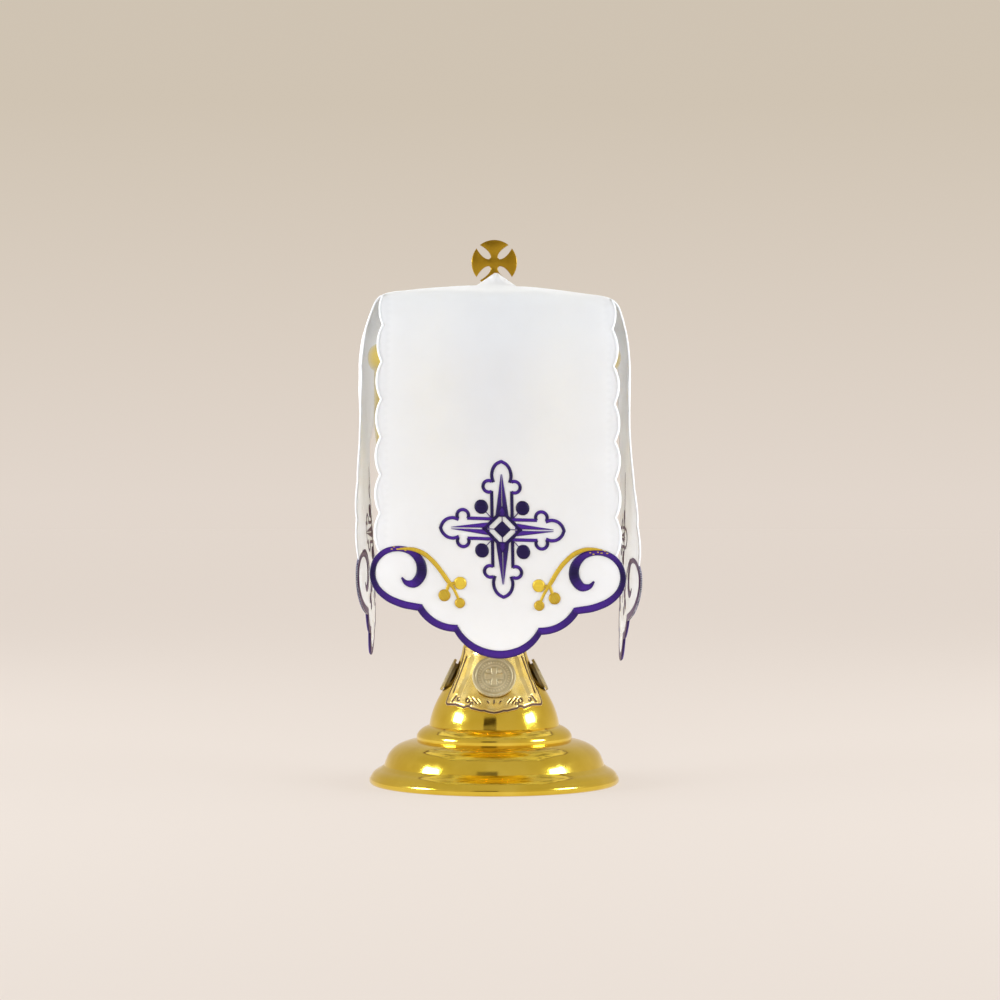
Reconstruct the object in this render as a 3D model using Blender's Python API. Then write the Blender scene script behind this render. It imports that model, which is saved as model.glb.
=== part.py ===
"""Pyx veil on its ciborium: a white satin cloth cut as a plus, slit at its centre for the finial,
draped over a lidded gold ciborium. All sizes below are in millimetres, +Z up, and the origin is
at the centre of the foot's underside. The front of the part faces -Y.
"""
import math

import bmesh
import bpy
import numpy as np
from mathutils import Vector
from mathutils.geometry import delaunay_2d_cdt

MM = 0.001

# Sheet and stitching
SHEET_THICK = 1.2
STITCH_GAP = 0.4
STITCH_THICK = 0.8
TOP_HALF = 57.2
SHEET_SHIFT = 1.8
SHEET_TILT = 0.02
HEM_HEIGHT = 68.8
SHEET_GRID = 12.4
EDGE_MARGIN = 4.4

# Middle section of the draped sheet, from the finial outwards and down to the hem
SECTION = (
    # out from the axis, height
    (0.0, 257.5),
    (14.0, 256.8),
    (30.0, 254.6),
    (46.0, 252.3),
    (53.0, 251.2),
    (57.0, 249.9),
    (60.4, 246.6),
    (63.2, 241.0),
    (65.6, 234.0),
    (67.5, 226.0),
    (68.5, 217.0),
    (68.5, 205.0),
    (67.9, 185.0),
    (67.5, 150.0),
    (67.6, 110.0),
    (68.0, HEM_HEIGHT),
)
CORNER_SHARPNESS = 8.0

# How far the corners of the top sag, from where to where out from the middle, and how far
# down the flaps the sag fades
CORNER_SAG = 1.4
SAG_START = 14.0
SAG_END = 57.0
SAG_FADE = 110.0

# How each flap hangs: its place round the axis, how much further its hem has slid down, how far
# the hem has shifted to the right of the flap's middle, and how far its middle hangs askew, as
# the extra drop per mm to the right
FLAPS = {
    # name: (turn in degrees, slide, shift, skew)
    "front": (0.0, 0.0, 0.2, 0.030),
    "right": (90.0, 3.9, 0.6, -0.015),
    "back": (180.0, 1.5, -0.8, 0.020),
    "left": (270.0, 3.4, -0.5, 0.010),
}
SKEW_HALF_WIDTH = 26.0

# Folds: how far each flap stands out from the middle section at its left edge, middle and
# right edge as seen from outside, a row for each height
FOLDS = {
    # name: rows of (height, left edge, middle, right edge)
    "front": (
        (255.0, 0.0, 0.0, 0.0),
        (238.0, -0.6, 0.0, -0.6),
        (214.0, -2.2, 0.2, -2.0),
        (172.0, -0.8, 0.4, -1.2),
        (132.0, 0.6, 0.2, -0.4),
        (105.0, 1.8, -0.3, 0.9),
        (60.0, 0.8, 0.4, 0.4),
    ),
    "right": (
        (255.0, 0.0, 0.0, 0.0),
        (238.0, -2.0, -0.9, -1.2),
        (214.0, -3.4, -1.2, -3.0),
        (172.0, -1.6, -0.8, -1.0),
        (157.0, 0.0, -1.0, -0.6),
        (137.0, 2.1, -1.2, -0.5),
        (114.0, 3.0, -2.0, -0.4),
        (88.0, 1.0, -2.9, -0.6),
        (60.0, -1.0, -4.4, -1.5),
    ),
    "back": (
        (255.0, 0.0, 0.0, 0.0),
        (238.0, -0.6, 0.0, -0.6),
        (214.0, -2.0, 0.2, -2.4),
        (172.0, -1.4, 0.5, 0.2),
        (132.0, 0.4, -0.4, 1.6),
        (105.0, 2.6, -0.6, 2.2),
        (60.0, 0.8, 0.8, 0.6),
    ),
    "left": (
        (255.0, 0.0, 0.0, 0.0),
        (238.0, -0.8, 1.4, -1.0),
        (214.0, -3.0, 2.0, -1.4),
        (193.0, -1.2, 1.4, -0.4),
        (172.0, 3.0, 0.6, 0.9),
        (140.0, 2.4, -0.6, 2.7),
        (112.0, 2.2, -2.6, 1.6),
        (88.0, 1.0, -2.8, 0.6),
        (60.0, 0.0, -2.2, 0.2),
    ),
}
FOLD_HALF_WIDTH = 60.0
FOLD_POWER = 3.2

# The slit and the lips that the finial lifts
SLIT_HALF_LENGTH = 14.0
SLIT_HALF_WIDTH = 3.6
LIP_RISE = 7.6
LIP_HALF_LENGTH = 12.0
LIP_CENTRE = -0.8
LIP_FADE = 5.5
LIP_PEAK = 1.15
LIP_SOFTNESS = 1.4

# Scalloped side edges of a flap
SCALLOPS = 7
SCALLOP_DEPTH = 2.4
SCALLOP_STEPS = 4
HEM_HALF_WIDTH = 58.8

# Hem of a flap: u is across the flap from its middle, v is up from the lowest point of the hem
BORDER_WIDTH = 3.0
CUSP_1 = (38.3, 22.2)
CUSP_2 = (20.6, 12.4)
SCALLOP_1_DEPTH = 2.7
SCALLOP_TUCK = 0.4
SIDE_MEETS_SCROLL = 51.6
SCROLL = (
    # u, v, width of the border along the scroll at each corner of the hem
    (37.5, 23.8, 3.0),
    (48.2, 25.8, 3.0),
    (55.0, 28.9, 3.0),
    (59.8, 33.8, 3.0),
    (61.8, 40.3, 3.0),
    (60.3, 47.0, 3.0),
    (55.5, 51.7, 3.0),
    (49.0, 53.2, 2.9),
    (42.2, 51.3, 3.6),
    (38.0, 46.0, 5.0),
    (38.2, 39.8, 5.4),
    (41.8, 36.0, 4.4),
    (45.5, 36.6, 2.6),
    (47.5, 39.0, 1.0),
)
SCROLL_STEP = 3.2
SCROLL_JOIN = 0.5
SIMPLIFY_DEGREES = 4.0

# Gold sprig: a stem, two short twigs and three berries
STEM = (
    # u, v, width
    (38.0, 53.9, 1.4),
    (33.0, 49.0, 2.0),
    (28.4, 43.4, 2.0),
    (25.3, 38.2, 1.9),
    (22.8, 34.0, 1.7),
    (20.3, 28.8, 1.5),
)
TWIGS = (
    # start u, v, end u, v
    (24.1, 36.2, 19.8, 36.5),
    (24.6, 37.0, 26.4, 31.8),
)
TWIG_WIDTH = 1.5
BERRIES = (
    # u, v, radius
    (18.9, 36.6, 3.2),
    (26.8, 30.6, 3.0),
    (19.6, 26.7, 2.6),
)
BERRY_STEPS = 9
SPRIG_SHIFT = 0.8

# Embroidered cross with knobbed arms round a four-pointed star
CROSS_V = 63.8
CROSS_U = 2.2
ARM_HALF_WIDTH = 4.9
LINE_WIDTH = 1.35
KNOB_OUT = 6.4
KNOB_RADIUS = 2.8
KNOB_NECK = 1.9
LOBE_HALF_WIDTH = 5.5
LOBE_STEPS = 4
KNOB_STEPS = 7
LOBE_OVERLAP = 0.5
ARMS = (
    # turn in degrees, reach, knob distance, ray length, ray half-width
    (0.0, 33.5, 21.1, 27.3, 3.4),
    (90.0, 30.5, 19.4, 25.4, 3.3),
    (180.0, 33.5, 21.1, 27.3, 3.4),
    (270.0, 30.5, 19.4, 25.4, 3.3),
)
DIAMOND = 10.1
DIAMOND_RING = 7.7
DIAMOND_HEART = 4.6
RING_LINE = 0.9
RAY_FOOT = 5.0
RAY_TIP = 0.4
DOT_RADIUS = 3.5
DOT_PLACE = (10.2, 10.8)
DOT_STALK = 1.1

# Ciborium: turned profiles from the axis up the outside
TURN_STEPS = 32
NARROW_STEPS = 20
FOOT = (
    # height, radius
    (0.0, 0.0),
    (0.0, 63.6),
    (1.4, 64.8),
    (4.4, 64.0),
    (6.6, 62.3),
    (9.7, 57.2),
    (15.8, 54.6),
    (18.4, 52.6),
    (20.6, 49.4),
    (22.0, 45.0),
    (22.8, 40.3),
    (26.4, 39.6),
    (28.9, 37.2),
    (30.2, 33.8),
    (34.3, 33.0),
    (40.5, 30.9),
    (46.5, 27.8),
    (52.0, 24.2),
    (56.7, 21.3),
    (61.5, 19.1),
    (66.5, 17.2),
    (72.3, 15.6),
    (74.0, 14.2),
    (74.0, 0.0),
)
STEM_PROFILE = (
    (74.3, 0.0),
    (74.3, 12.4),
    (78.0, 12.0),
    (81.0, 8.2),
    (88.0, 7.6),
    (91.5, 13.5),
    (96.5, 18.2),
    (102.0, 18.2),
    (107.0, 13.5),
    (110.5, 7.6),
    (118.0, 8.2),
    (122.0, 12.5),
    (125.0, 15.0),
    (125.0, 0.0),
)
BOWL = (
    (125.3, 0.0),
    (125.3, 17.0),
    (128.2, 27.0),
    (135.0, 39.0),
    (145.0, 49.0),
    (160.0, 57.6),
    (180.0, 62.2),
    (214.2, 62.4),
    (216.0, 64.3),
    (218.8, 65.5),
    (223.4, 65.5),
    (226.2, 64.3),
    (227.4, 62.0),
    (227.4, 0.0),
)
LID = (
    (227.7, 0.0),
    (227.7, 60.4),
    (233.0, 58.6),
    (238.5, 54.6),
    (243.2, 49.2),
    (247.0, 42.5),
    (250.2, 34.5),
    (253.1, 25.5),
    (255.3, 17.0),
    (256.3, 9.0),
    (256.3, 0.0),
)

# Raised panels on the front and back of the foot's bell
PANEL_TURNS = {"panel_front": 0.0, "panel_back": 180.0}
PANEL_HALF_ANGLE = 55.0
PANEL_HALF_ANGLE_TOP = 66.0
PANEL_TOP = 70.5
PANEL_BOTTOM = 42.2
PANEL_LOBE = 3.6
PANEL_WAVES = 2
PANEL_THICK = 0.8
PANEL_GAP = 0.6
PANEL_STEPS = 12
PANEL_ROWS = 3
SEAT_GAP = 0.3

# Medallions round the bell
MEDALLIONS = {
    # name: (turn in degrees, radius, lift off the bell)
    "medallion_front": (0.0, 11.2, 2.8),
    "medallion_right": (90.0, 8.9, 1.3),
    "medallion_back": (180.0, 11.2, 2.8),
    "medallion_left": (270.0, 8.9, 1.3),
}
MEDALLION_HEIGHT = 56.7
MEDALLION_THICK = 1.5
MEDALLION_RIM = 1.2
MEDALLION_STEPS = 16
MEDALLION_FACE = (
    # share of the radius, depth below the rim: foot of the rim, foot and top of the middle boss
    (0.85, 0.5),
    (0.46, 0.5),
    (0.39, 0.1),
)

# Finial: a cross of four flared arms inside a circle
FINIAL_CENTRE = 270.3
FINIAL_RADIUS = 11.8
FINIAL_THICK = 2.8
FINIAL_WAIST = 1.75
FINIAL_RIM_HALF = 7.4
FINIAL_FORK = 2.7
FINIAL_FLARE = 2.0
NECK_RADIUS = 2.4
NECK_TOP = 263.0
NECK_STEPS = 12


def clear_scene():
    """Remove every object that the file holds."""
    for thing in list(bpy.data.objects):
        bpy.data.objects.remove(thing, do_unlink=True)


def material(name, colour, roughness, metallic=0.0):
    """A plain Principled material."""
    made = bpy.data.materials.new(name)
    made.use_nodes = True
    shader = made.node_tree.nodes["Principled BSDF"]
    shader.inputs["Base Color"].default_value = (*colour, 1.0)
    shader.inputs["Roughness"].default_value = roughness
    shader.inputs["Metallic"].default_value = metallic
    return made


def add_object(name, bm, finish, sharp_degrees=35.0):
    """Turn a bmesh in millimetres into a named object in metres."""
    bmesh.ops.scale(bm, vec=(MM, MM, MM), verts=bm.verts)
    mesh = bpy.data.meshes.new(name)
    bm.to_mesh(mesh)
    bm.free()
    mesh.shade_smooth()
    mesh.set_sharp_from_angle(angle=math.radians(sharp_degrees))
    mesh.materials.append(finish)
    thing = bpy.data.objects.new(name, mesh)
    bpy.context.scene.collection.objects.link(thing)
    return thing


# Curves and tables

def smooth_read(keys, values, at):
    """Read a smooth curve through (keys, values), keys rising, at the given places."""
    slopes = np.gradient(values, keys)
    at = np.clip(at, keys[0], keys[-1])
    low = np.clip(np.searchsorted(keys, at, side="right") - 1, 0, len(keys) - 2)
    span = keys[low + 1] - keys[low]
    t = (at - keys[low]) / span
    start = (1 + 2 * t) * (1 - t) ** 2 * values[low] + t * (1 - t) ** 2 * span * slopes[low]
    end = t * t * (3 - 2 * t) * values[low + 1] + t * t * (t - 1) * span * slopes[low + 1]
    return start + end


def smooth_line(rows, step):
    """Points about one step apart on a smooth curve through the rows, all columns together."""
    rows = np.array(rows)
    run = np.concatenate(([0.0], np.cumsum(np.linalg.norm(np.diff(rows[:, :2], axis=0), axis=1))))
    count = max(2, int(round(run[-1] / step)) + 1)
    at = np.linspace(0.0, run[-1], count)
    return np.column_stack([smooth_read(run, column, at) for column in rows.T])


def ease(t):
    """Smooth step from 0 to 1."""
    t = np.clip(t, 0.0, 1.0)
    return t * t * (3.0 - 2.0 * t)


def section_table():
    """The middle section as run along the cloth, distance out and height."""
    fine = smooth_line(SECTION, 0.5)
    run = np.concatenate(([0.0], np.cumsum(np.linalg.norm(np.diff(fine, axis=0), axis=1))))
    return run, fine[:, 0], fine[:, 1]


RUN, RUN_OUT, RUN_HEIGHT = section_table()
FLAP_LENGTH = RUN[-1]
RUN_TAIL = 30.0
RUN = np.append(RUN, RUN[-1] + RUN_TAIL)
RUN_OUT = np.append(RUN_OUT, RUN_OUT[-1])
RUN_HEIGHT = np.append(RUN_HEIGHT, RUN_HEIGHT[-1] - RUN_TAIL)


# Drape: from a point of the flat cloth to its place

SLIDE_START = 60.0
SLIDE_SPAN = 70.0
WIDEN_SPAN = 45.0


def slid_run(run, slide):
    """Where a point of the flat cloth lies along the section once its flap has slid."""
    return run + slide * ease((run - SLIDE_START) / SLIDE_SPAN)


def fold_out(name, height, across):
    """How far a flap stands out from the middle section."""
    rows = np.array(FOLDS[name][::-1])
    left = smooth_read(rows[:, 0], rows[:, 1], height)
    middle = smooth_read(rows[:, 0], rows[:, 2], height)
    right = smooth_read(rows[:, 0], rows[:, 3], height)
    edge = np.where(across < 0.0, left, right)
    return middle + (edge - middle) * np.abs(across / FOLD_HALF_WIDTH) ** FOLD_POWER


def drape(flat):
    """Places of points of the flat cloth's middle layer, given as rows of (x, y)."""
    flat = np.atleast_2d(np.asarray(flat, dtype=float))
    x, y = flat[:, 0], flat[:, 1]
    slide_x = np.where(x > 0.0, FLAPS["right"][1], FLAPS["left"][1])
    slide_y = np.where(y < 0.0, FLAPS["front"][1], FLAPS["back"][1])
    run_x = slid_run(np.abs(x), slide_x)
    run_y = slid_run(np.abs(y), slide_y)
    out_x = np.interp(run_x, RUN, RUN_OUT)
    out_y = np.interp(run_y, RUN, RUN_OUT)
    drop_x = SECTION[0][1] - np.interp(run_x, RUN, RUN_HEIGHT)
    drop_y = SECTION[0][1] - np.interp(run_y, RUN, RUN_HEIGHT)
    drop = (drop_x ** CORNER_SHARPNESS + drop_y ** CORNER_SHARPNESS) ** (1.0 / CORNER_SHARPNESS)
    height = SECTION[0][1] - drop
    along_x = np.abs(x) > np.abs(y)
    free_x = ease((np.abs(x) - TOP_HALF) / WIDEN_SPAN)
    free_y = ease((np.abs(y) - TOP_HALF) / WIDEN_SPAN)
    wide_x = np.where(along_x, out_x, out_x + (np.abs(x) - out_x) * free_y)
    wide_y = np.where(along_x, out_y + (np.abs(y) - out_y) * free_x, out_y)
    place = np.column_stack([np.sign(x) * wide_x, np.sign(y) * wide_y, height])

    for name in FLAPS:
        degrees, _, shift, skew = FLAPS[name]
        turn = math.radians(degrees)
        outward = np.array([math.sin(turn), -math.cos(turn)])
        sideways = np.array([math.cos(turn), math.sin(turn)])
        reach = flat @ outward
        across = flat @ sideways
        here = (reach > np.abs(across)) & (reach > 0.0)
        weight = np.where(here, ease((reach - TOP_HALF) / WIDEN_SPAN), 0.0)
        along = np.clip((reach - TOP_HALF) / (FLAP_LENGTH - TOP_HALF), 0.0, 1.2)
        push = fold_out(name, height, across) * np.where(here, 1.0, 0.0)
        place[:, :2] += np.outer(push, outward)
        place[:, :2] += np.outer(shift * along * weight, sideways)
        middle = np.exp(-((across / SKEW_HALF_WIDTH) ** 2))
        place[:, 2] -= skew * across * middle * along

    lip = SLIT_HALF_WIDTH * np.clip(1.0 - (x / SLIT_HALF_LENGTH) ** 2, 0.0, 1.0)
    away = np.clip(np.abs(y) - lip, 0.0, None)
    tent = np.clip(1.0 - np.abs(x - LIP_CENTRE) / LIP_HALF_LENGTH, 0.0, 1.0)
    place[:, 2] += LIP_RISE * tent ** LIP_PEAK * np.exp(-((away / LIP_FADE) ** LIP_SOFTNESS))
    sag_x = np.clip((np.abs(x) - SAG_START) / (SAG_END - SAG_START), 0.0, 1.0)
    sag_y = np.clip((np.abs(y) - SAG_START) / (SAG_END - SAG_START), 0.0, 1.0)
    far = np.maximum(np.abs(x), np.abs(y)) - SAG_END
    place[:, 2] -= CORNER_SAG * sag_x * sag_y * (1.0 - ease(far / SAG_FADE))
    place[:, 2] -= SHEET_TILT * place[:, 0]
    place[:, 0] += SHEET_SHIFT
    return place


def lifted(flat, lift):
    """Places of points of the flat cloth, each lifted along the cloth's outer normal."""
    flat = np.atleast_2d(np.asarray(flat, dtype=float))
    reach = 0.2
    step_x = drape(flat + (reach, 0.0)) - drape(flat - (reach, 0.0))
    step_y = drape(flat + (0.0, reach)) - drape(flat - (0.0, reach))
    normal = np.cross(step_x, step_y)
    normal /= np.linalg.norm(normal, axis=1)[:, None]
    return drape(flat) + normal * np.reshape(lift, (-1, 1))


def on_flap(name, points):
    """Turn rows of (u, v) on a flap into points of the flat cloth."""
    turn = math.radians(FLAPS[name][0])
    points = np.asarray(points)
    u = points[:, 0]
    out = FLAP_LENGTH - points[:, 1]
    x = u * math.cos(turn) + out * math.sin(turn)
    y = u * math.sin(turn) - out * math.cos(turn)
    return np.column_stack([x, y])


# Flat shapes

def ring(centre, radius, count, squash=1.0):
    """A round outline."""
    turns = np.arange(count) * 2.0 * math.pi / count
    return np.column_stack([centre[0] + radius * np.cos(turns),
                            centre[1] + squash * radius * np.sin(turns)])


def bar(start, end, width):
    """A straight strip between two points."""
    start = np.array(start)
    end = np.array(end)
    along = (end - start) / np.linalg.norm(end - start)
    side = np.array([-along[1], along[0]]) * width / 2.0
    return np.array([start - side, end - side, end + side, start + side])


def ribbon(line):
    """The outline of a strip along rows of (u, v, width), round at neither end."""
    along = np.gradient(line[:, :2], axis=0)
    along /= np.linalg.norm(along, axis=1)[:, None]
    side = np.column_stack([-along[:, 1], along[:, 0]]) * line[:, 2:3] / 2.0
    return np.vstack([line[:, :2] - side, (line[:, :2] + side)[::-1]])


def mirrored(outline):
    """The same outline on the other side of the flap."""
    return outline[::-1] * (-1.0, 1.0)


def turned(outline, degrees):
    """An outline turned about the origin."""
    turn = math.radians(degrees)
    spin = np.array([[math.cos(turn), math.sin(turn)], [-math.sin(turn), math.cos(turn)]])
    return np.asarray(outline) @ spin


def arc_between(start, end, depth, count):
    """Points of a round arc from start to end that bulges to the right of the way."""
    start = np.array(start)
    end = np.array(end)
    half = np.linalg.norm(end - start) / 2.0
    radius = (half * half + depth * depth) / (2.0 * depth)
    along = (end - start) / (2.0 * half)
    right = np.array([along[1], -along[0]])
    centre = (start + end) / 2.0 - right * (radius - depth)
    spread = math.asin(min(1.0, half / radius))
    turns = np.linspace(-spread, spread, count)
    return centre + radius * (np.outer(np.sin(turns), along) + np.outer(np.cos(turns), right))


def inside(outline, points):
    """Which points lie inside an outline."""
    hit = np.zeros(len(points), dtype=bool)
    ends = np.roll(outline, -1, axis=0)
    for (ax, ay), (bx, by) in zip(outline, ends):
        if ay == by:
            continue
        crosses = (ay > points[:, 1]) != (by > points[:, 1])
        at = ax + (points[:, 1] - ay) * (bx - ax) / (by - ay)
        hit ^= crosses & (points[:, 0] < at)
    return hit


def painted(layers, extra=()):
    """Triangles of the area that layers of (adds, outline) leave, painted one over another."""
    points = [Vector(p) for _, outline in layers for p in outline]
    edges = []
    start = 0
    for _, outline in layers:
        count = len(outline)
        edges += [(start + i, start + (i + 1) % count) for i in range(count)]
        start += count
    points += [Vector(p) for p in extra]
    verts, _, faces, _, _, _ = delaunay_2d_cdt(points, edges, [], 0, 1e-4)
    flat = np.array([(v.x, v.y) for v in verts])
    middles = np.array([flat[list(face)].mean(axis=0) for face in faces])
    keep = np.zeros(len(faces), dtype=bool)
    for adds, outline in layers:
        keep = np.where(inside(np.asarray(outline), middles), adds, keep)
    return flat, [tuple(face) for face, kept in zip(faces, keep) if kept]


def simplified(flat, faces):
    """The same flat area with no more triangles than its outline needs."""
    bm = bmesh.new()
    verts = [bm.verts.new((x, y, 0.0)) for x, y in flat]
    for face in faces:
        bm.faces.new([verts[i] for i in face])
    loose = [v for v in bm.verts if not v.link_faces]
    bmesh.ops.delete(bm, geom=loose, context="VERTS")
    bmesh.ops.dissolve_limit(bm, angle_limit=math.radians(SIMPLIFY_DEGREES), verts=bm.verts,
                             edges=bm.edges, use_dissolve_boundaries=False)
    bmesh.ops.triangulate(bm, faces=bm.faces)
    bm.verts.index_update()
    flat = np.array([(v.co.x, v.co.y) for v in bm.verts])
    faces = [tuple(v.index for v in face.verts) for face in bm.faces]
    bm.free()
    return flat, faces


def plate(flat, faces, place):
    """A closed plate over flat triangles; place(points, side) gives each side's positions."""
    used = sorted({i for face in faces for i in face})
    order = {old: new for new, old in enumerate(used)}
    flat = flat[used]
    bm = bmesh.new()
    low = [bm.verts.new(p) for p in place(flat, 0)]
    high = [bm.verts.new(p) for p in place(flat, 1)]
    rims = {}
    for face in faces:
        a, b, c = (order[i] for i in face)
        if np.cross(flat[b] - flat[a], flat[c] - flat[a]) < 0.0:
            b, c = c, b
        bm.faces.new((high[a], high[b], high[c]))
        bm.faces.new((low[c], low[b], low[a]))
        for edge in ((a, b), (b, c), (c, a)):
            rims[edge] = True
    for a, b in rims:
        if (b, a) not in rims:
            bm.faces.new((low[a], low[b], high[b], high[a]))
    return bm


def stitched(name, layers, finish, flap):
    """Raised stitching on a flap from painted outlines in (u, v)."""
    flat, faces = simplified(*painted(layers))
    base = SHEET_THICK / 2.0 + STITCH_GAP

    def place(points, side):
        return lifted(on_flap(flap, points), base + side * STITCH_THICK)

    return add_object(name, plate(flat, faces, place), finish)


# Hem and side edges of a flap

def scroll_line():
    """The scroll at the right corner of the hem as rows of (u, v, width)."""
    return smooth_line(SCROLL, SCROLL_STEP)


def scroll_edge():
    """The outer edge of the scroll where it is the edge of the cloth, from the cusp upwards."""
    line = scroll_line()
    along = np.gradient(line[:, :2], axis=0)
    along /= np.linalg.norm(along, axis=1)[:, None]
    edge = line[:, :2] + np.column_stack([along[:, 1], -along[:, 0]]) * line[:, 2:3] / 2.0
    last = int(np.argmax(edge[:, 0])) + 1
    while edge[last, 0] > HEM_HALF_WIDTH + SCROLL_JOIN:
        last += 1
    return edge[1:last]


def centre_scallop(inset=0.0, count=11):
    """The deep middle scallop of the hem, left to right, its lowest point at v = 0."""
    half, rise = CUSP_2
    line = arc_between((-half, rise), (half, rise), rise, count)
    return line + (0.0, inset)


def outer_scallop(count=6):
    """The shallow scallop between the two cusps on the right."""
    return arc_between(CUSP_2, CUSP_1, SCALLOP_1_DEPTH, count)


def side_edge():
    """The scalloped right edge of a flap, from the scroll up to the corner of the top."""
    top = FLAP_LENGTH - TOP_HALF
    points = []
    for i in range(SCALLOPS):
        for k in range(SCALLOP_STEPS):
            t = (i + k / SCALLOP_STEPS) / SCALLOPS
            rise = k / SCALLOP_STEPS
            u = HEM_HALF_WIDTH + (TOP_HALF - HEM_HALF_WIDTH) * t
            u += SCALLOP_DEPTH * 4.0 * rise * (1.0 - rise)
            points.append((u, SIDE_MEETS_SCROLL + (top - SIDE_MEETS_SCROLL) * t))
    return np.array(points)


def flap_outline():
    """A flap's edge from its left corner of the top round the hem to its right corner."""
    right = np.vstack([outer_scallop()[1:], scroll_edge(), side_edge()])
    middle = centre_scallop()
    return np.vstack([mirrored(right), middle, right])


def sheet_outline():
    """The whole edge of the flat cloth."""
    edge = flap_outline()
    corner = np.array([(TOP_HALF, FLAP_LENGTH - TOP_HALF)])
    parts = []
    for name in ("front", "right", "back", "left"):
        parts.append(on_flap(name, np.vstack([edge, corner])))
    return np.vstack(parts)


def slit_outline():
    """The slit in the middle of the top, open like an eye."""
    half = SLIT_HALF_LENGTH
    upper = [(half * math.cos(t), SLIT_HALF_WIDTH * math.sin(t) ** 2)
             for t in np.linspace(0.0, math.pi, 11)]
    lower = [(x, -y) for x, y in upper[1:-1]][::-1]
    return np.array(upper + lower)


def grid_points(outline, hole):
    """Staggered points inside the cloth, clear of its edges."""
    reach = FLAP_LENGTH
    rows = np.arange(-reach, reach, SHEET_GRID * 0.87)
    points = []
    for i, y in enumerate(rows):
        shift = SHEET_GRID / 2.0 * (i % 2)
        for x in np.arange(-reach + shift, reach, SHEET_GRID):
            points.append((x, y))
    points = np.array(points)
    points = points[inside(outline, points) & ~inside(hole, points)]
    edges = np.vstack([outline, hole])
    away = np.array([np.min(np.linalg.norm(edges - p, axis=1)) for p in points])
    return points[away > EDGE_MARGIN]


def make_veil(satin):
    """The cloth as one closed sheet."""
    outline = sheet_outline()
    hole = slit_outline()
    flat, faces = painted([(True, outline), (False, hole)], grid_points(outline, hole))

    def place(points, side):
        return lifted(points, (side - 0.5) * SHEET_THICK)

    return add_object("veil", plate(flat, faces, place), satin, 60.0)


# Stitching

def border_layers():
    """The purple border: two scrolls joined by the stitched hem."""
    scroll = ribbon(scroll_line())
    inset = BORDER_WIDTH / 2.0
    hems = []
    middle = centre_scallop(inset)
    hems.append(ribbon(np.column_stack([middle, np.full(len(middle), BORDER_WIDTH)])))
    outer = outer_scallop() + (-SCALLOP_TUCK, inset)
    outer = np.column_stack([outer, np.full(len(outer), BORDER_WIDTH)])
    hems += [ribbon(outer), mirrored(ribbon(outer))]
    return [(True, scroll), (True, mirrored(scroll))] + [(True, hem) for hem in hems]


def sprig_layers():
    """The gold sprig on the right half of a flap."""
    layers = [(True, ribbon(smooth_line(STEM, 5.0)))]
    layers += [(True, bar((a, b), (c, d), TWIG_WIDTH)) for a, b, c, d in TWIGS]
    layers += [(True, ring((u, v), radius, BERRY_STEPS)) for u, v, radius in BERRIES]
    return layers


def arm_shapes(grow, reach, knob_at):
    """Outlines that make up one arm of the cross, pointing up, grown by half a line."""
    lobe_base = knob_at + KNOB_RADIUS + LOBE_OVERLAP
    half = ARM_HALF_WIDTH + grow
    top = lobe_base + LOBE_OVERLAP
    shapes = [np.array([(-half, 0.0), (half, 0.0), (half, top), (-half, top)])]
    for side in (-1.0, 1.0):
        shapes.append(ring((side * KNOB_OUT, knob_at), KNOB_RADIUS + grow, KNOB_STEPS))
        shapes.append(bar((0.0, knob_at), (side * KNOB_OUT, knob_at), 2.0 * (KNOB_NECK + grow)))
    turns = np.linspace(0.0, math.pi / 2.0, LOBE_STEPS)
    width = (LOBE_HALF_WIDTH + grow) * np.cos(turns)
    rise = lobe_base + (reach + grow - lobe_base) * np.sin(turns)
    right = np.column_stack([width, rise])
    left = np.column_stack([-width[:-1], rise[:-1]])[::-1]
    shapes.append(np.vstack([right, left]))
    return shapes


def cross_layers():
    """The embroidered cross, its star, heart and four dots."""
    layers = []
    for grow, adds in ((LINE_WIDTH / 2.0, True), (-LINE_WIDTH / 2.0, False)):
        for degrees, reach, knob_at, _, _ in ARMS:
            for shape in arm_shapes(grow, reach, knob_at):
                layers.append((adds, turned(shape, degrees)))
    for degrees, _, _, length, half in ARMS:
        ray = np.array([(-half, RAY_FOOT), (half, RAY_FOOT), (RAY_TIP, length), (-RAY_TIP, length)])
        layers.append((True, turned(ray, degrees)))
    for sx in (-1.0, 1.0):
        for sy in (-1.0, 1.0):
            dot = (sx * DOT_PLACE[0], sy * DOT_PLACE[1])
            root = (sx * DIAMOND_HEART, sy * DIAMOND_HEART)
            layers.append((True, bar(root, dot, DOT_STALK)))
            layers.append((True, ring(dot, DOT_RADIUS, KNOB_STEPS)))
    layers.append((True, ring((0.0, 0.0), DIAMOND, 4)))
    layers.append((False, ring((0.0, 0.0), DIAMOND_RING, 4)))
    layers.append((True, bar((0.0, -DIAMOND), (0.0, DIAMOND), RING_LINE)))
    layers.append((True, bar((-DIAMOND, 0.0), (DIAMOND, 0.0), RING_LINE)))
    layers.append((True, ring((0.0, 0.0), DIAMOND_HEART, 4)))
    return [(adds, shape + (CROSS_U, CROSS_V)) for adds, shape in layers]


def make_stitching(purple, gold):
    """Border, cross and two sprigs on each flap."""
    for name in FLAPS:
        stitched("border_" + name, border_layers(), purple, name)
        stitched("cross_" + name, cross_layers(), purple, name)
        sprig = [(adds, outline + (SPRIG_SHIFT, 0.0)) for adds, outline in sprig_layers()]
        other = [(adds, mirrored(outline) + (SPRIG_SHIFT, 0.0)) for adds, outline in sprig_layers()]
        stitched("sprig_" + name + "_right", sprig, gold, name)
        stitched("sprig_" + name + "_left", other, gold, name)


# Ciborium

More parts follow.
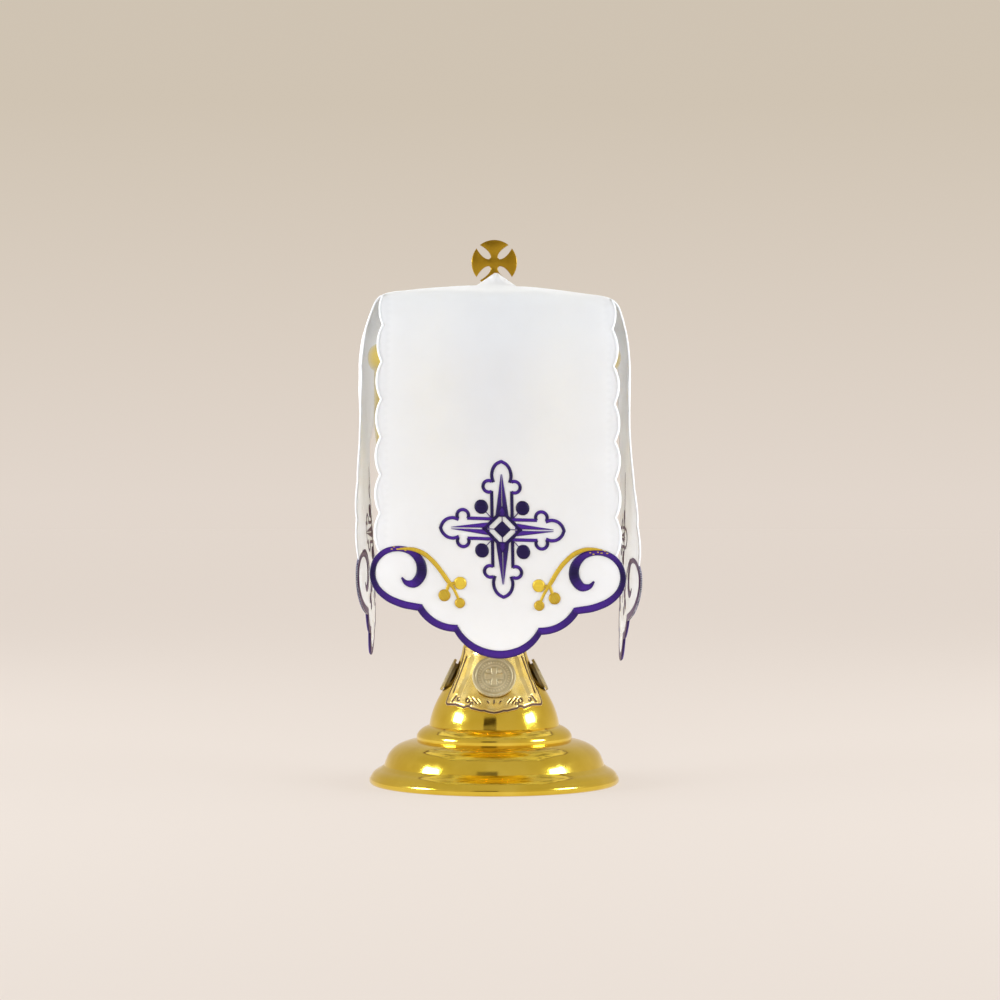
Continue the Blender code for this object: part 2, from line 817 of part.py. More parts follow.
def turned_piece(name, profile, steps, finish):
    """A solid of revolution from rows of (height, radius), starting and ending on the axis."""
    bm = bmesh.new()
    verts = [bm.verts.new((radius, 0.0, height)) for height, radius in profile]
    edges = [bm.edges.new(pair) for pair in zip(verts[:-1], verts[1:])]
    bmesh.ops.spin(bm, geom=verts + edges, cent=(0.0, 0.0, 0.0), axis=(0.0, 0.0, 1.0),
                   angle=2.0 * math.pi, steps=steps, use_merge=True)
    bmesh.ops.remove_doubles(bm, verts=bm.verts, dist=0.001)
    bmesh.ops.recalc_face_normals(bm, faces=bm.faces)
    return add_object(name, bm, finish)


def bell_radius(height):
    """Radius of the foot's bell at a height."""
    bell = np.array([row for row in FOOT if 29.0 < row[0] and row[1] > 0.0])
    return np.interp(height, bell[:, 0], bell[:, 1])


def bell_slope():
    """How far the bell's side leans in from upright, over the panels' height."""
    shrink = bell_radius(PANEL_BOTTOM) - bell_radius(PANEL_TOP)
    return math.atan2(shrink, PANEL_TOP - PANEL_BOTTOM)


def make_panel(name, degrees, finish):
    """A raised panel that follows the bell, with a lobed lower edge."""
    bm = bmesh.new()
    slope = bell_slope()
    shells = []
    for lift in (PANEL_GAP, PANEL_GAP + PANEL_THICK):
        grid = []
        for j in range(PANEL_ROWS + 1):
            line = []
            for i in range(PANEL_STEPS + 1):
                across = 2.0 * i / PANEL_STEPS - 1.0
                wave = 0.5 + 0.5 * math.cos(2.0 * PANEL_WAVES * math.pi * across)
                lobe = PANEL_LOBE * wave * (1.0 - across ** 2)
                bottom = PANEL_BOTTOM - lobe
                height = bottom + (PANEL_TOP - bottom) * j / PANEL_ROWS
                half = PANEL_HALF_ANGLE + (PANEL_HALF_ANGLE_TOP - PANEL_HALF_ANGLE) * j / PANEL_ROWS
                turn = math.radians(degrees + across * half)
                radius = bell_radius(height) + lift * math.cos(slope)
                place = (radius * math.sin(turn), -radius * math.cos(turn),
                         height + lift * math.sin(slope))
                line.append(bm.verts.new(place))
            grid.append(line)
        shells.append(grid)
    inner, outer = shells
    for j in range(PANEL_ROWS):
        for i in range(PANEL_STEPS):
            bm.faces.new((outer[j][i], outer[j][i + 1], outer[j + 1][i + 1], outer[j + 1][i]))
            bm.faces.new((inner[j][i], inner[j + 1][i], inner[j + 1][i + 1], inner[j][i + 1]))
    rim = [(0, i) for i in range(PANEL_STEPS)] + [(j, PANEL_STEPS) for j in range(PANEL_ROWS)]
    rim += [(PANEL_ROWS, i) for i in range(PANEL_STEPS, 0, -1)]
    rim += [(j, 0) for j in range(PANEL_ROWS, 0, -1)]
    for (ja, ia), (jb, ib) in zip(rim, rim[1:] + rim[:1]):
        bm.faces.new((inner[ja][ia], inner[jb][ib], outer[jb][ib], outer[ja][ia]))
    bmesh.ops.recalc_face_normals(bm, faces=bm.faces)
    return add_object(name, bm, finish, 50.0)


def make_medallion(name, finish):
    """A coin-like disc with a raised rim, seated on the bell or on its panel."""
    degrees, radius, lift = MEDALLIONS[name]
    profile = [(0.0, 0.0), (0.0, radius), (MEDALLION_THICK, radius)]
    profile.append((MEDALLION_THICK, radius - MEDALLION_RIM))
    profile += [(MEDALLION_THICK - depth, radius * share) for share, depth in MEDALLION_FACE]
    profile.append((MEDALLION_THICK - MEDALLION_FACE[-1][1], 0.0))
    disc = turned_piece(name, profile, MEDALLION_STEPS, finish)
    slope = bell_slope()
    turn = math.radians(degrees)
    seat = bell_radius(MEDALLION_HEIGHT) + lift * math.cos(slope)
    rise = MEDALLION_HEIGHT + lift * math.sin(slope)
    disc.location = (seat * math.sin(turn) * MM, -seat * math.cos(turn) * MM, rise * MM)
    disc.rotation_euler = (math.radians(90.0) - slope, 0.0, turn)
    return disc


def finial_layers():
    """Four flared arms inside a circle, in the plane of the finial."""
    rise = math.sqrt(FINIAL_RADIUS ** 2 - FINIAL_RIM_HALF ** 2)
    steps = np.linspace(0.0, 1.0, 6)
    width = FINIAL_WAIST + (FINIAL_RIM_HALF - FINIAL_WAIST) * steps ** FINIAL_FLARE
    edge = np.column_stack([width, FINIAL_FORK + (rise - FINIAL_FORK) * steps])
    spread = math.asin(FINIAL_RIM_HALF / FINIAL_RADIUS)
    turns = np.linspace(spread, -spread, 9)[1:-1]
    rim = np.column_stack([FINIAL_RADIUS * np.sin(turns), FINIAL_RADIUS * np.cos(turns)])
    arm = np.vstack([edge, rim, (edge * (-1.0, 1.0))[::-1]])
    heart = np.array([(-1.0, -1.0), (1.0, -1.0), (1.0, 1.0), (-1.0, 1.0)]) * FINIAL_FORK
    layers = [(True, turned(arm, degrees)) for degrees in (0.0, 90.0, 180.0, 270.0)]
    return layers + [(True, heart)]


def make_finial(finish):
    """The finial cross with the neck that carries it."""
    flat, faces = painted(finial_layers())

    def place(points, side):
        depth = (0.5 - side) * FINIAL_THICK
        return [(p[0], depth, p[1] + FINIAL_CENTRE) for p in points]

    finial = add_object("finial", plate(flat, faces, place), finish)
    foot = LID[-1][0] + SEAT_GAP
    profile = ((foot, 0.0), (foot, 5.0), (foot + 0.8, 4.6), (foot + 2.0, NECK_RADIUS),
               (NECK_TOP, NECK_RADIUS * 0.8), (NECK_TOP, 0.0))
    neck = turned_piece("neck", profile, NECK_STEPS, finish)
    neck.hide_render = True
    neck.display_type = "WIRE"
    join = finial.modifiers.new("join", "BOOLEAN")
    join.operation = "UNION"
    join.solver = "EXACT"
    join.object = neck
    return finial


def make_ciborium(gold, silver):
    """Foot, panels, medallions, stem, bowl, lid and finial."""
    turned_piece("foot", FOOT, TURN_STEPS, gold)
    for name, degrees in PANEL_TURNS.items():
        make_panel(name, degrees, gold)
    for name in MEDALLIONS:
        make_medallion(name, silver)
    turned_piece("stem", STEM_PROFILE, NARROW_STEPS, gold)
    turned_piece("bowl", BOWL, TURN_STEPS, gold)
    turned_piece("lid", LID, TURN_STEPS, gold)
    make_finial(gold)


def main():
    """Build the whole part."""
    clear_scene()
    satin = material("white satin", (0.87, 0.87, 0.88), 0.55)
    purple = material("purple thread", (0.09, 0.025, 0.32), 0.5)
    thread = material("gold thread", (0.68, 0.41, 0.04), 0.45, 0.3)
    gold = material("polished gold plate", (0.83, 0.52, 0.10), 0.16, 1.0)
    silver = material("aged silver", (0.55, 0.52, 0.44), 0.38, 1.0)
    make_ciborium(gold, silver)
    make_veil(satin)
    make_stitching(purple, thread)


main()
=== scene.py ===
"""Looks of the pyx veil on its ciborium: a thin satin cloth draped in folds, satin-stitched borders,
crosses and sprigs, a scalloped edging, and a turned, engraved gilt ciborium. Sizes are in
millimetres unless a name says otherwise, +Z up, with the front facing -Y.
"""
import math

import bmesh
import bpy
import numpy as np
from mathutils import Matrix, Vector
from mathutils.geometry import delaunay_2d_cdt
from mathutils.kdtree import KDTree


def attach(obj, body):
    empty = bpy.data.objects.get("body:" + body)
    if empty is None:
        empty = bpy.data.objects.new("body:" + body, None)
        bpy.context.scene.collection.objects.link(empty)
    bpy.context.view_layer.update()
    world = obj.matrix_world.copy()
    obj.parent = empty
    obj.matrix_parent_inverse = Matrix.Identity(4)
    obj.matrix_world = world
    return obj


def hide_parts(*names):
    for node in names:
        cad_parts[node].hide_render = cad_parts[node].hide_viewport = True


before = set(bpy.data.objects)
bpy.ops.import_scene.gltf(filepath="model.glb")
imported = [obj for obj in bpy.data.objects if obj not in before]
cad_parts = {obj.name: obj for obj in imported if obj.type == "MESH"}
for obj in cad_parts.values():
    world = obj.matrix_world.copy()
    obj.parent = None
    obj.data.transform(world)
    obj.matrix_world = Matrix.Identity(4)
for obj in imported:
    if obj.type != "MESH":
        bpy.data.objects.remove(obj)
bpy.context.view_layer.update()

MM = 0.001
SEED = 7

# Sheet
SHEET_THICK = 0.7
TOP_HALF = 57.2
SHEET_SHIFT = 1.8
SHEET_TILT = 0.02
HEM_HEIGHT = 68.8
SHEET_GRID = 2.2
EDGE_MARGIN = 0.9
NORMAL_REACH = 0.2
BAND_START = 1.0
BAND_END = 4.6
ROW_SHARE = 0.87
SMOOTH_DEGREES = 60.0

# Middle section of the draped sheet, from the finial outwards and down to the hem
SECTION = (
    # out from the axis, height
    (0.0, 257.5), (14.0, 256.8), (30.0, 254.6), (46.0, 252.3), (53.0, 251.2), (57.0, 249.9),
    (60.4, 246.6), (63.2, 241.0), (65.6, 234.0), (67.5, 226.0), (68.5, 217.0), (68.5, 205.0),
    (67.9, 185.0), (67.5, 150.0), (67.6, 110.0), (68.0, HEM_HEIGHT),
)
SECTION_STEP = 0.5
CORNER_SHARPNESS = 8.0
CORNER_SAG = 1.4
SAG_START = 14.0
SAG_END = 57.0
SAG_FADE = 110.0

# How each flap hangs
FLAPS = {
    # name: (turn in degrees, slide, shift, skew)
    "front": (0.0, 0.0, 0.2, 0.030),
    "right": (90.0, 3.9, 0.6, -0.015),
    "back": (180.0, 1.5, -0.8, 0.020),
    "left": (270.0, 3.4, -0.5, 0.010),
}
SKEW_HALF_WIDTH = 26.0

# Folds: how far each flap stands out from the middle section
FOLDS = {
    # name: rows of (height, left edge, middle, right edge)
    "front": (
        (255.0, 0.0, 0.0, 0.0), (238.0, -0.6, 0.0, -0.6), (214.0, -2.2, 0.2, -2.0),
        (172.0, -0.8, 0.4, -1.2), (132.0, 0.6, 0.2, -0.4), (105.0, 1.8, -0.3, 0.9),
        (60.0, 0.8, 0.4, 0.4),
    ),
    "right": (
        (255.0, 0.0, 0.0, 0.0), (238.0, -2.0, -0.9, -1.2), (214.0, -3.4, -1.2, -3.0),
        (172.0, -1.6, -0.8, -1.0), (157.0, 0.0, -1.0, -0.6), (137.0, 2.1, -1.2, -0.5),
        (114.0, 3.0, -2.0, -0.4), (88.0, 1.0, -2.9, -0.6), (60.0, -1.0, -4.4, -1.5),
    ),
    "back": (
        (255.0, 0.0, 0.0, 0.0), (238.0, -0.6, 0.0, -0.6), (214.0, -2.0, 0.2, -2.4),
        (172.0, -1.4, 0.5, 0.2), (132.0, 0.4, -0.4, 1.6), (105.0, 2.6, -0.6, 2.2),
        (60.0, 0.8, 0.8, 0.6),
    ),
    "left": (
        (255.0, 0.0, 0.0, 0.0), (238.0, -0.8, 1.4, -1.0), (214.0, -3.0, 2.0, -1.4),
        (193.0, -1.2, 1.4, -0.4), (172.0, 3.0, 0.6, 0.9), (140.0, 2.4, -0.6, 2.7),
        (112.0, 2.2, -2.6, 1.6), (88.0, 1.0, -2.8, 0.6), (60.0, 0.0, -2.2, 0.2),
    ),
}
FOLD_HALF_WIDTH = 60.0
FOLD_POWER = 3.2

# Soft creases, in the flat cloth: where each starts and ends, half its width, how far it stands out
CREASES = (
    # x, y, end x, end y, half width, rise
    (10.0, -26.0, 27.0, -66.0, 5.0, 0.50),
    (-3.0, -34.0, -1.0, -68.0, 9.0, -0.55),
    (36.0, -46.0, 45.0, -74.0, 8.0, -0.50),
    (-28.0, -40.0, -35.0, -66.0, 9.0, 0.30),
    (-22.0, -96.0, -17.0, -172.0, 11.0, -0.25),
    (25.0, -104.0, 29.0, -168.0, 11.0, 0.22),
    (104.0, -24.0, 196.0, -20.0, 6.0, -0.80),
    (112.0, 12.0, 206.0, 8.0, 8.0, 0.70),
    (98.0, 36.0, 190.0, 33.0, 7.0, -0.55),
    (-108.0, -30.0, -186.0, -27.0, 6.0, 0.60),
    (-100.0, -6.0, -204.0, -9.0, 8.0, -0.75),
    (-118.0, 27.0, -210.0, 22.0, 7.0, 0.65),
    (-12.0, 30.0, -30.0, 70.0, 6.0, 0.45),
    (6.0, 38.0, 10.0, 74.0, 9.0, -0.50),
    (-27.0, 106.0, -31.0, 186.0, 9.0, -0.55),
    (18.0, 112.0, 23.0, 198.0, 10.0, 0.50),
)

# The slit and the lips that the finial lifts
SLIT_HALF_LENGTH = 14.0
SLIT_HALF_WIDTH = 3.6
LIP_RISE = 7.6
LIP_HALF_LENGTH = 12.0
LIP_CENTRE = -0.8
LIP_FADE = 5.5
LIP_PEAK = 1.15
LIP_SOFTNESS = 1.4

# Scalloped side edges of a flap
SCALLOPS = 7
SCALLOP_DEPTH = 2.4
SCALLOP_STEPS = 10
HEM_HALF_WIDTH = 58.8

# Hem of a flap: u is across the flap from its middle, v is up from the lowest point of the hem
BORDER_WIDTH = 3.0
OUTER_HEM_WIDTH = 3.7
MIDDLE_HEM_WIDTH = 4.0
HEM_REACH = 0.7
HEM_TUCK = 0.1
CUSP_1 = (38.3, 22.2)
CUSP_2 = (20.6, 12.4)
SCALLOP_1_DEPTH = 2.7
SIDE_MEETS_SCROLL = 51.6
SCROLL = (
    # u, v, width of the border along the scroll at each corner of the hem
    (37.5, 24.1, 3.7), (48.2, 26.2, 3.8), (54.8, 29.2, 3.6), (59.7, 33.9, 3.3), (61.8, 40.3, 3.1),
    (60.3, 47.0, 3.0), (55.5, 51.7, 3.0), (49.0, 53.2, 2.9), (42.2, 51.3, 3.6), (38.0, 46.0, 5.0),
    (38.2, 39.8, 5.4), (41.8, 36.0, 4.4), (45.5, 36.6, 2.6), (47.5, 39.0, 1.0),
)
SCROLL_STEP = 0.8
SCROLL_JOIN = 0.5

# Gold sprig
STEM = (
    # u, v, width
    (50.8, 54.5, 0.6), (47.0, 54.9, 1.3), (42.4, 54.6, 1.9), (37.6, 52.7, 2.3), (33.0, 49.0, 2.5),
    (28.4, 43.2, 2.4), (25.6, 38.4, 2.4), (22.8, 34.0, 1.7), (20.3, 28.8, 1.5),
)
TWIGS = (
    # start u, v, end u, v
    (24.1, 36.2, 19.8, 36.5),
    (24.6, 37.0, 26.4, 31.8),
)
TWIG_WIDTH = 1.8
# Where the left stem drops and where a stem climbs over the border: from, span
LEFT_STEM_DROP = 1.7
DROP_SPAN = (22.0, 8.0)
CLIMB_SPAN = (35.0, 4.0)
CLIMB = 0.8
SPECK_CLIMB = 0.75
BERRIES = (
    # u, v, radius, direction of the stitches in degrees, sheen and tone: how bright the stitches are
    # painted for their sheen
    (19.4, 36.5, 3.2, 0.0, 0.85),
    (27.2, 30.4, 3.0, 60.0, 0.5),
    (19.6, 26.7, 2.6, 30.0, 0.5),
)
SPECKS = (
    # u, v, length of the loose gold stitches over the border
    (53.2, 52.9, 0.9), (52.1, 54.0, 0.8), (50.4, 53.0, 1.0), (48.6, 53.4, 0.8), (46.4, 52.4, 0.9),
    (44.8, 53.1, 0.8),
)
SPECK_WIDTH = 0.55
SPRIG_SHIFT = 0.8

# Embroidered cross with knobbed arms round a four-pointed star
CROSS_V = 63.8
CROSS_U = 2.2
ARM_HALF_WIDTH = 4.95
CROSS_LEAN = 0.016
LINE_WIDTH = 1.85
KNOB_OUT = 6.3
KNOB_RADIUS = 2.85
KNOB_TURN = 122.0
ARM_FOOT = 4.4
LOBE_FOOT = 2.1
LOBE = (
    # share of the way from the lobe's foot to its tip, half width
    (0.0, 3.95), (0.14, 4.45), (0.28, 4.75), (0.42, 4.7), (0.58, 4.35), (0.72, 3.7), (0.88, 2.3),
    (1.0, 0.0),
)
ARMS = (
    # upright arms, then level ones: reach, knob distance, ray length, ray half-width, split along
    # the ray, how wide the lobe is
    (33.5, 21.0, 27.3, 3.4, 0.08, 1.0),
    (30.5, 19.4, 25.4, 3.3, 0.28, 1.06),
)
QUARTERS = (0.0, 90.0, 180.0, 270.0)
DIAMOND = 10.1
DIAMOND_RING = 7.7
DIAMOND_HEART = 4.3
RING_LINE = 0.45
RAY_FOOT = 6.2
RAY_TIP = 0.25
# Painted sheen of the upright rays, from their first stitch to their last
RAY_SHEEN = (0.08, 0.75)
RAY_HEART_HALF = 1.5
RAY_HEART_TOP = 11.6
DOT_RADIUS = 3.6
DOT_PLACE = (10.2, 10.8)
DOT_STALK = 0.5

# Satin stitches
STITCH_PITCH = 0.44
VALLEY = 0.62
VALLEY_SHADE = 0.12
SEAT = 0.28
BULGE_LEAST = 0.34
BULGE_PER_WIDTH = 0.11
BULGE_MOST = 0.85
UNDER_SHARE = 0.45
STITCH_JITTER = 0.05
EDGING_WIDTH = 1.15
EDGING_PITCH = 0.7
EDGING_IN = 0.35

# Ciborium: turned profiles in smooth stretches, each from (height, radius) to (height, radius)
TURN_STEPS = 180
NARROW_STEPS = 96
PROFILE_STEP = 0.7
BELL_STEP = 0.4
FOOT = (
    ((0.0, 0.0), (0.0, 63.4)),
    ((0.0, 63.4), (0.5, 64.3), (1.6, 64.8), (3.0, 64.7), (4.2, 63.9)),
    ((4.2, 63.9), (5.3, 63.3), (6.7, 61.8), (8.2, 59.2), (9.7, 57.2)),
    ((9.7, 57.2), (12.6, 56.2), (15.8, 54.6), (18.4, 52.2), (20.4, 49.0), (21.8, 45.0), (22.8, 40.3)),
    ((22.8, 40.3), (24.4, 40.4), (26.4, 39.6), (28.2, 37.8), (29.4, 35.8), (30.2, 33.8)),
    ((30.2, 33.8), (34.3, 33.0), (40.5, 30.9), (46.5, 27.8), (52.0, 24.2), (56.7, 21.3), (61.5, 19.1),
     (66.5, 17.2), (72.3, 15.6), (74.0, 14.2)),
    ((74.0, 14.2), (74.0, 0.0)),
)
STEM_PROFILE = (
    ((74.3, 0.0), (74.3, 12.4)),
    ((74.3, 12.4), (76.2, 12.6), (78.0, 12.0)),
    ((78.0, 12.0), (79.4, 9.6), (81.4, 8.1), (85.0, 7.6), (88.0, 7.6)),
    ((88.0, 7.6), (89.0, 9.6), (91.5, 13.5), (95.0, 17.2), (99.2, 18.6), (103.4, 17.2), (107.0, 13.5),
     (109.5, 9.6), (110.5, 7.6)),
    ((110.5, 7.6), (114.0, 7.6), (118.0, 8.2), (120.4, 9.8), (122.6, 12.8), (125.0, 15.0)),
    ((125.0, 15.0), (125.0, 0.0)),
)
BOWL = (
    ((125.3, 0.0), (125.3, 17.0)),
    ((125.3, 17.0), (126.6, 22.6), (130.4, 32.0), (137.0, 42.0), (146.0, 50.2), (160.0, 57.4),
     (180.0, 61.8), (200.0, 62.4), (214.2, 62.4)),
    ((214.2, 62.4), (215.0, 63.6), (217.0, 65.0), (220.0, 65.7), (223.6, 65.3), (226.0, 64.0),
     (227.4, 62.0)),
    ((227.4, 62.0), (227.4, 0.0)),
)
LID = (
    ((227.7, 0.0), (227.7, 60.4)),
    ((227.7, 60.4), (230.4, 59.9), (233.6, 58.2), (238.5, 54.4), (243.2, 49.0), (247.0, 42.3),
     (250.2, 34.2), (252.9, 25.5), (255.1, 17.0), (256.1, 9.0), (256.3, 0.0)),
)

# Raised, engraved panels on the front and back of the foot's bell
PANEL_TURNS = {"front": 0.0, "back": 180.0}
PANEL_HALF_ANGLE = 55.0
PANEL_HALF_ANGLE_TOP = 66.0
PANEL_TOP = 70.5
PANEL_BOTTOM = 42.2
PANEL_GAP = 0.1
PANEL_THICK = 0.9
# Half a panel is this wide along the bell where the bell has the radius after it
PANEL_HALF_WIDTH = 25.0
PANEL_AT_RADIUS = 30.0
PANEL_STEPS = 180
PANEL_ROWS = 72
PANEL_EDGE = (
    # share of the half width, height of the ornate lower edge
    (0.0, 38.0), (0.1, 38.5), (0.16, 39.1), (0.22, 39.0), (0.32, 39.7), (0.4, 40.1), (0.44, 41.0),
    (0.48, 41.0), (0.53, 40.3), (0.6, 40.7), (0.72, 41.5), (0.86, 41.3), (0.94, 41.3), (1.0, 42.6),
)
GROOVE_HALF_WIDTH = 0.34
GROOVE_DEPTH = 0.4
BAR_DEPTH = 0.45
LINE_SOFTNESS = 0.25
RIM_LINE_IN = 0.75
RIM_SOFTNESS = 0.2
LOWER_RIM_SHARE = 0.92
ROUND_OFF = 0.4
ROUND_OFF_DEPTH = 0.3
PANEL_LINES = (
    # share of the half width and height at each end, half width of the engraved line
    (0.69, 46.4, 0.66, 54.0, 0.9),
    (0.64, 55.2, 0.60, 65.5, 0.9),
    (0.82, 43.6, 0.75, 46.6, 0.3),
    (0.86, 48.0, 0.8, 66.0, 0.26),
    (0.3, 43.0, 0.4, 45.6, 0.26),
    (0.24, 43.2, 0.31, 45.2, 0.22),
    (0.0, 43.4, 0.0, 44.6, 0.32),
    (0.09, 43.6, 0.12, 44.4, 0.24),
)
PANEL_CURLS = (
    # share of the half width, height, radius, first and last turn in degrees
    (0.475, 44.6, 1.0, -200.0, 90.0),
    (0.4, 43.0, 0.7, -40.0, 200.0),
    (0.68, 45.0, 0.8, -160.0, 110.0),
)
CURL_HALF_WIDTH = 0.24

# Medallions round the bell
MEDALLIONS = {
    # name: (turn in degrees, radius, lift off the bell)
    "front": (0.0, 11.2, 2.8),
    "right": (90.0, 8.9, 1.3),
    "back": (180.0, 11.2, 2.8),
    "left": (270.0, 8.9, 1.3),
}
MEDALLION_HEIGHT = 55.4
MEDALLION_MOUNT = 1.6
MOUNT_SHARE = 0.8
MEDALLION_THICK = 1.5
MEDALLION_STEPS = 288
MEDALLION_RINGS = 40
REEDS = 96
REED_DEPTH = 0.16
REED_START = 0.87
REED_FADE = 0.05
FIELD_DEPTH = 0.5
RELIEF_RISE = 0.2
RIM_ROUNDING = 0.25
FACE_SHARE = 0.985

# Finial: a cross of four flared arms inside a circle
FINIAL_CENTRE = 270.3
FINIAL_RADIUS = 11.8
FINIAL_THICK = 2.8
FINIAL_WAIST = 1.75
FINIAL_RIM_HALF = 7.4
FINIAL_FORK = 2.7
FINIAL_FLARE = 2.0
FINIAL_BEVEL = 0.35
NECK_RADIUS = 2.4
NECK_TOP = 263.0
NECK_FOOT = 256.4

# Colours, in linear light
SATIN_LOW = (0.81, 0.825, 0.86)
SATIN_HIGH = (0.84, 0.855, 0.89)
SATIN_BAND = (0.76, 0.775, 0.81)
# The purple, gold and white edging threads run from their dark to their bright colour by a painted sheen
# that follows the stitch direction, with painted shade in the valleys between stitches and at each
# stitch's sides
PURPLE_DARK = (0.007, 0.002, 0.038)
PURPLE_SHEEN = (0.080, 0.020, 0.295)
GOLD_DARK = (0.36, 0.19, 0.015)
GOLD_SHEEN = (0.92, 0.66, 0.06)
UNDER_DARK = (0.080, 0.026, 0.110)
UNDER_BRIGHT = (0.42, 0.35, 0.50)
EDGING_DARK = (0.72, 0.72, 0.73)
EDGING_BRIGHT = (0.90, 0.90, 0.90)
GILT_LOW = (0.82, 0.58, 0.055)
GILT_HIGH = (0.92, 0.68, 0.10)
# Finial gilt darkened well below the other gilt: painted shade for the dim reflection it shows
FINIAL_SHADED_LOW = (0.42, 0.24, 0.014)
FINIAL_SHADED_HIGH = (0.56, 0.35, 0.03)
ENGRAVED_LOW = (0.92, 0.66, 0.16)
ENGRAVED_HIGH = (0.97, 0.76, 0.28)
GROOVE_COLOUR = (0.06, 0.018, 0.022)
SILVER_LOW = (0.70, 0.60, 0.36)
SILVER_HIGH = (0.88, 0.77, 0.50)
# Dark colour of the silver: tarnish in the reeds and the field, and painted shade on the mount under each
# disc
TARNISH_AND_SHADE = (0.22, 0.17, 0.08)
FLOOR_COLOUR = (0.14, 0.13, 0.12)
FLOOR_GLOW = (0.652, 0.582, 0.529)
CARD_COLOUR = (0.06, 0.045, 0.03)
WORLD_LOW = (0.76, 0.675, 0.605)
WORLD_MIDDLE = (0.63, 0.55, 0.45)
WORLD_HIGH = (0.56, 0.51, 0.43)
WEAVE_SCALE = 506.0
TURNING_SCALE = 640.0

# Studio, in metres
FLOOR_RADIUS = 12.0
WORLD_STRENGTH = 1.0
LAMPS = (
    # name, kind, place, target, power, colour, size, whether the metal shows it
    ("soft_sun", "SUN", (-0.15, -2.0, 0.35), (0.0, 0.0, 0.1), 1.36, (0.65, 0.79, 1.0), 30.0, False),
    ("left_box", "AREA", (-1.0, -0.34, 0.44), (0.0, 0.0, 0.13), 8.0, (0.82, 0.91, 1.0), (0.34, 0.2), True),
    ("right_box", "AREA", (1.0, -0.34, 0.44), (0.0, 0.0, 0.13), 7.5, (0.82, 0.91, 1.0), (0.34, 0.2), True),
    ("left_fill", "AREA", (-1.3, 0.25, 0.3), (0.0, 0.0, 0.16), 19.0, (0.9, 0.95, 1.0), (0.9, 0.9), False),
    ("right_fill", "AREA", (1.3, 0.25, 0.3), (0.0, 0.0, 0.16), 18.0, (0.9, 0.95, 1.0), (0.9, 0.9), False),
)
CARD_SIZE = (0.75, 0.6)
CARD_PLACE = (-0.25, -1.8, 0.8)
LENS = 93.7
CAMERA_PLACE = (0.003, -1.353, 0.147)


# Meshes

def add_piece(name, mesh, finishes, nodes, smooth_degrees=None):
    """Link a mesh as a piece of the object that stands for CAD nodes."""
    for finish in finishes:
        mesh.materials.append(finish)
    mesh.shade_smooth()
    if smooth_degrees is not None:
        mesh.set_sharp_from_angle(angle=math.radians(smooth_degrees))
    thing = bpy.data.objects.new(name, mesh)
    bpy.context.scene.collection.objects.link(thing)
    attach(thing, "root")
    if nodes:
        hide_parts(*nodes)
    return thing


def mesh_from(name, verts, faces):
    """A mesh in metres from places in millimetres."""
    mesh = bpy.data.meshes.new(name)
    mesh.from_pydata([tuple(v) for v in np.asarray(verts) * MM], [], [tuple(f) for f in faces])
    mesh.update()
    return mesh


def set_values(mesh, name, values):
    """Store one number for each vertex under a name that the material reads."""
    layer = mesh.attributes.new(name, "FLOAT", "POINT")
    layer.data.foreach_set("value", np.asarray(values, dtype=np.float32))


def quads(grid):
    """Faces between the rows and columns of a grid of vertex numbers."""
    corners = [grid[:-1, :-1], grid[:-1, 1:], grid[1:, 1:], grid[1:, :-1]]
    return np.stack(corners, axis=-1).reshape(-1, 4)


def sheet_faces(grid, shift):
    """Faces of a closed sheet from a grid of its upper vertices, where each lower one comes a
    shift later: the top, the rims and last the underside."""
    edge = np.concatenate([grid[:-1, 0], grid[-1, :-1], grid[:0:-1, -1], grid[0, :0:-1]])
    ahead = np.roll(edge, -1)
    rims = np.column_stack([edge, ahead, ahead + shift, edge + shift])
    return np.vstack([quads(grid), rims, quads(grid)[:, ::-1] + shift])


def closed_rings(rings, low, high):
    """Vertices and faces of a solid from a stack of rings with a point below and one above."""
    count, steps, _ = rings.shape
    grid = np.arange(count * steps).reshape(count, steps)
    grid = np.column_stack([grid, grid[:, 0]])
    tip = np.full(steps, count * steps)
    under = np.column_stack([tip, grid[0, 1:], grid[0, :-1]])
    over = np.column_stack([tip + 1, grid[-1, :-1], grid[-1, 1:]])
    faces = quads(grid).tolist() + under.tolist() + over.tolist()
    return np.vstack([rings.reshape(-1, 3), [low, high]]), faces


# Curves and tables

def smooth_read(keys, values, at):
    """Read a smooth curve through (keys, values), keys rising, at the given places."""
    slopes = np.gradient(values, keys)
    at = np.clip(at, keys[0], keys[-1])
    low = np.clip(np.searchsorted(keys, at, side="right") - 1, 0, len(keys) - 2)
    span = keys[low + 1] - keys[low]
    t = (at - keys[low]) / span
    start = (1 + 2 * t) * (1 - t) ** 2 * values[low] + t * (1 - t) ** 2 * span * slopes[low]
    end = t * t * (3 - 2 * t) * values[low + 1] + t * t * (t - 1) * span * slopes[low + 1]
    return start + end


def run_along(points):
    """Distance along a line of points, up to each."""
    steps = np.linalg.norm(np.diff(points[:, :2], axis=0), axis=1)
    return np.concatenate(([0.0], np.cumsum(steps)))


def read_straight(keys, values, at):
    """Read straight runs between (keys, values) at the given places."""
    return np.interp(at, keys, values)


def spaced_line(rows, step, read=smooth_read):
    """Points about one step apart along the rows, all columns together, on a smooth curve unless
    another way of reading is given."""
    rows = np.array(rows)
    run = run_along(rows)
    count = max(3, int(round(run[-1] / step)) + 1)
    at = np.linspace(0.0, run[-1], count)
    return np.column_stack([read(run, column, at) for column in rows.T])


def ease(t):
    """Smooth step from 0 to 1."""
    t = np.clip(t, 0.0, 1.0)
    return t * t * (3.0 - 2.0 * t)


def section_table():
    """The middle section as run along the cloth, distance out and height."""
    fine = spaced_line(SECTION, SECTION_STEP)
    return run_along(fine), fine[:, 0], fine[:, 1]


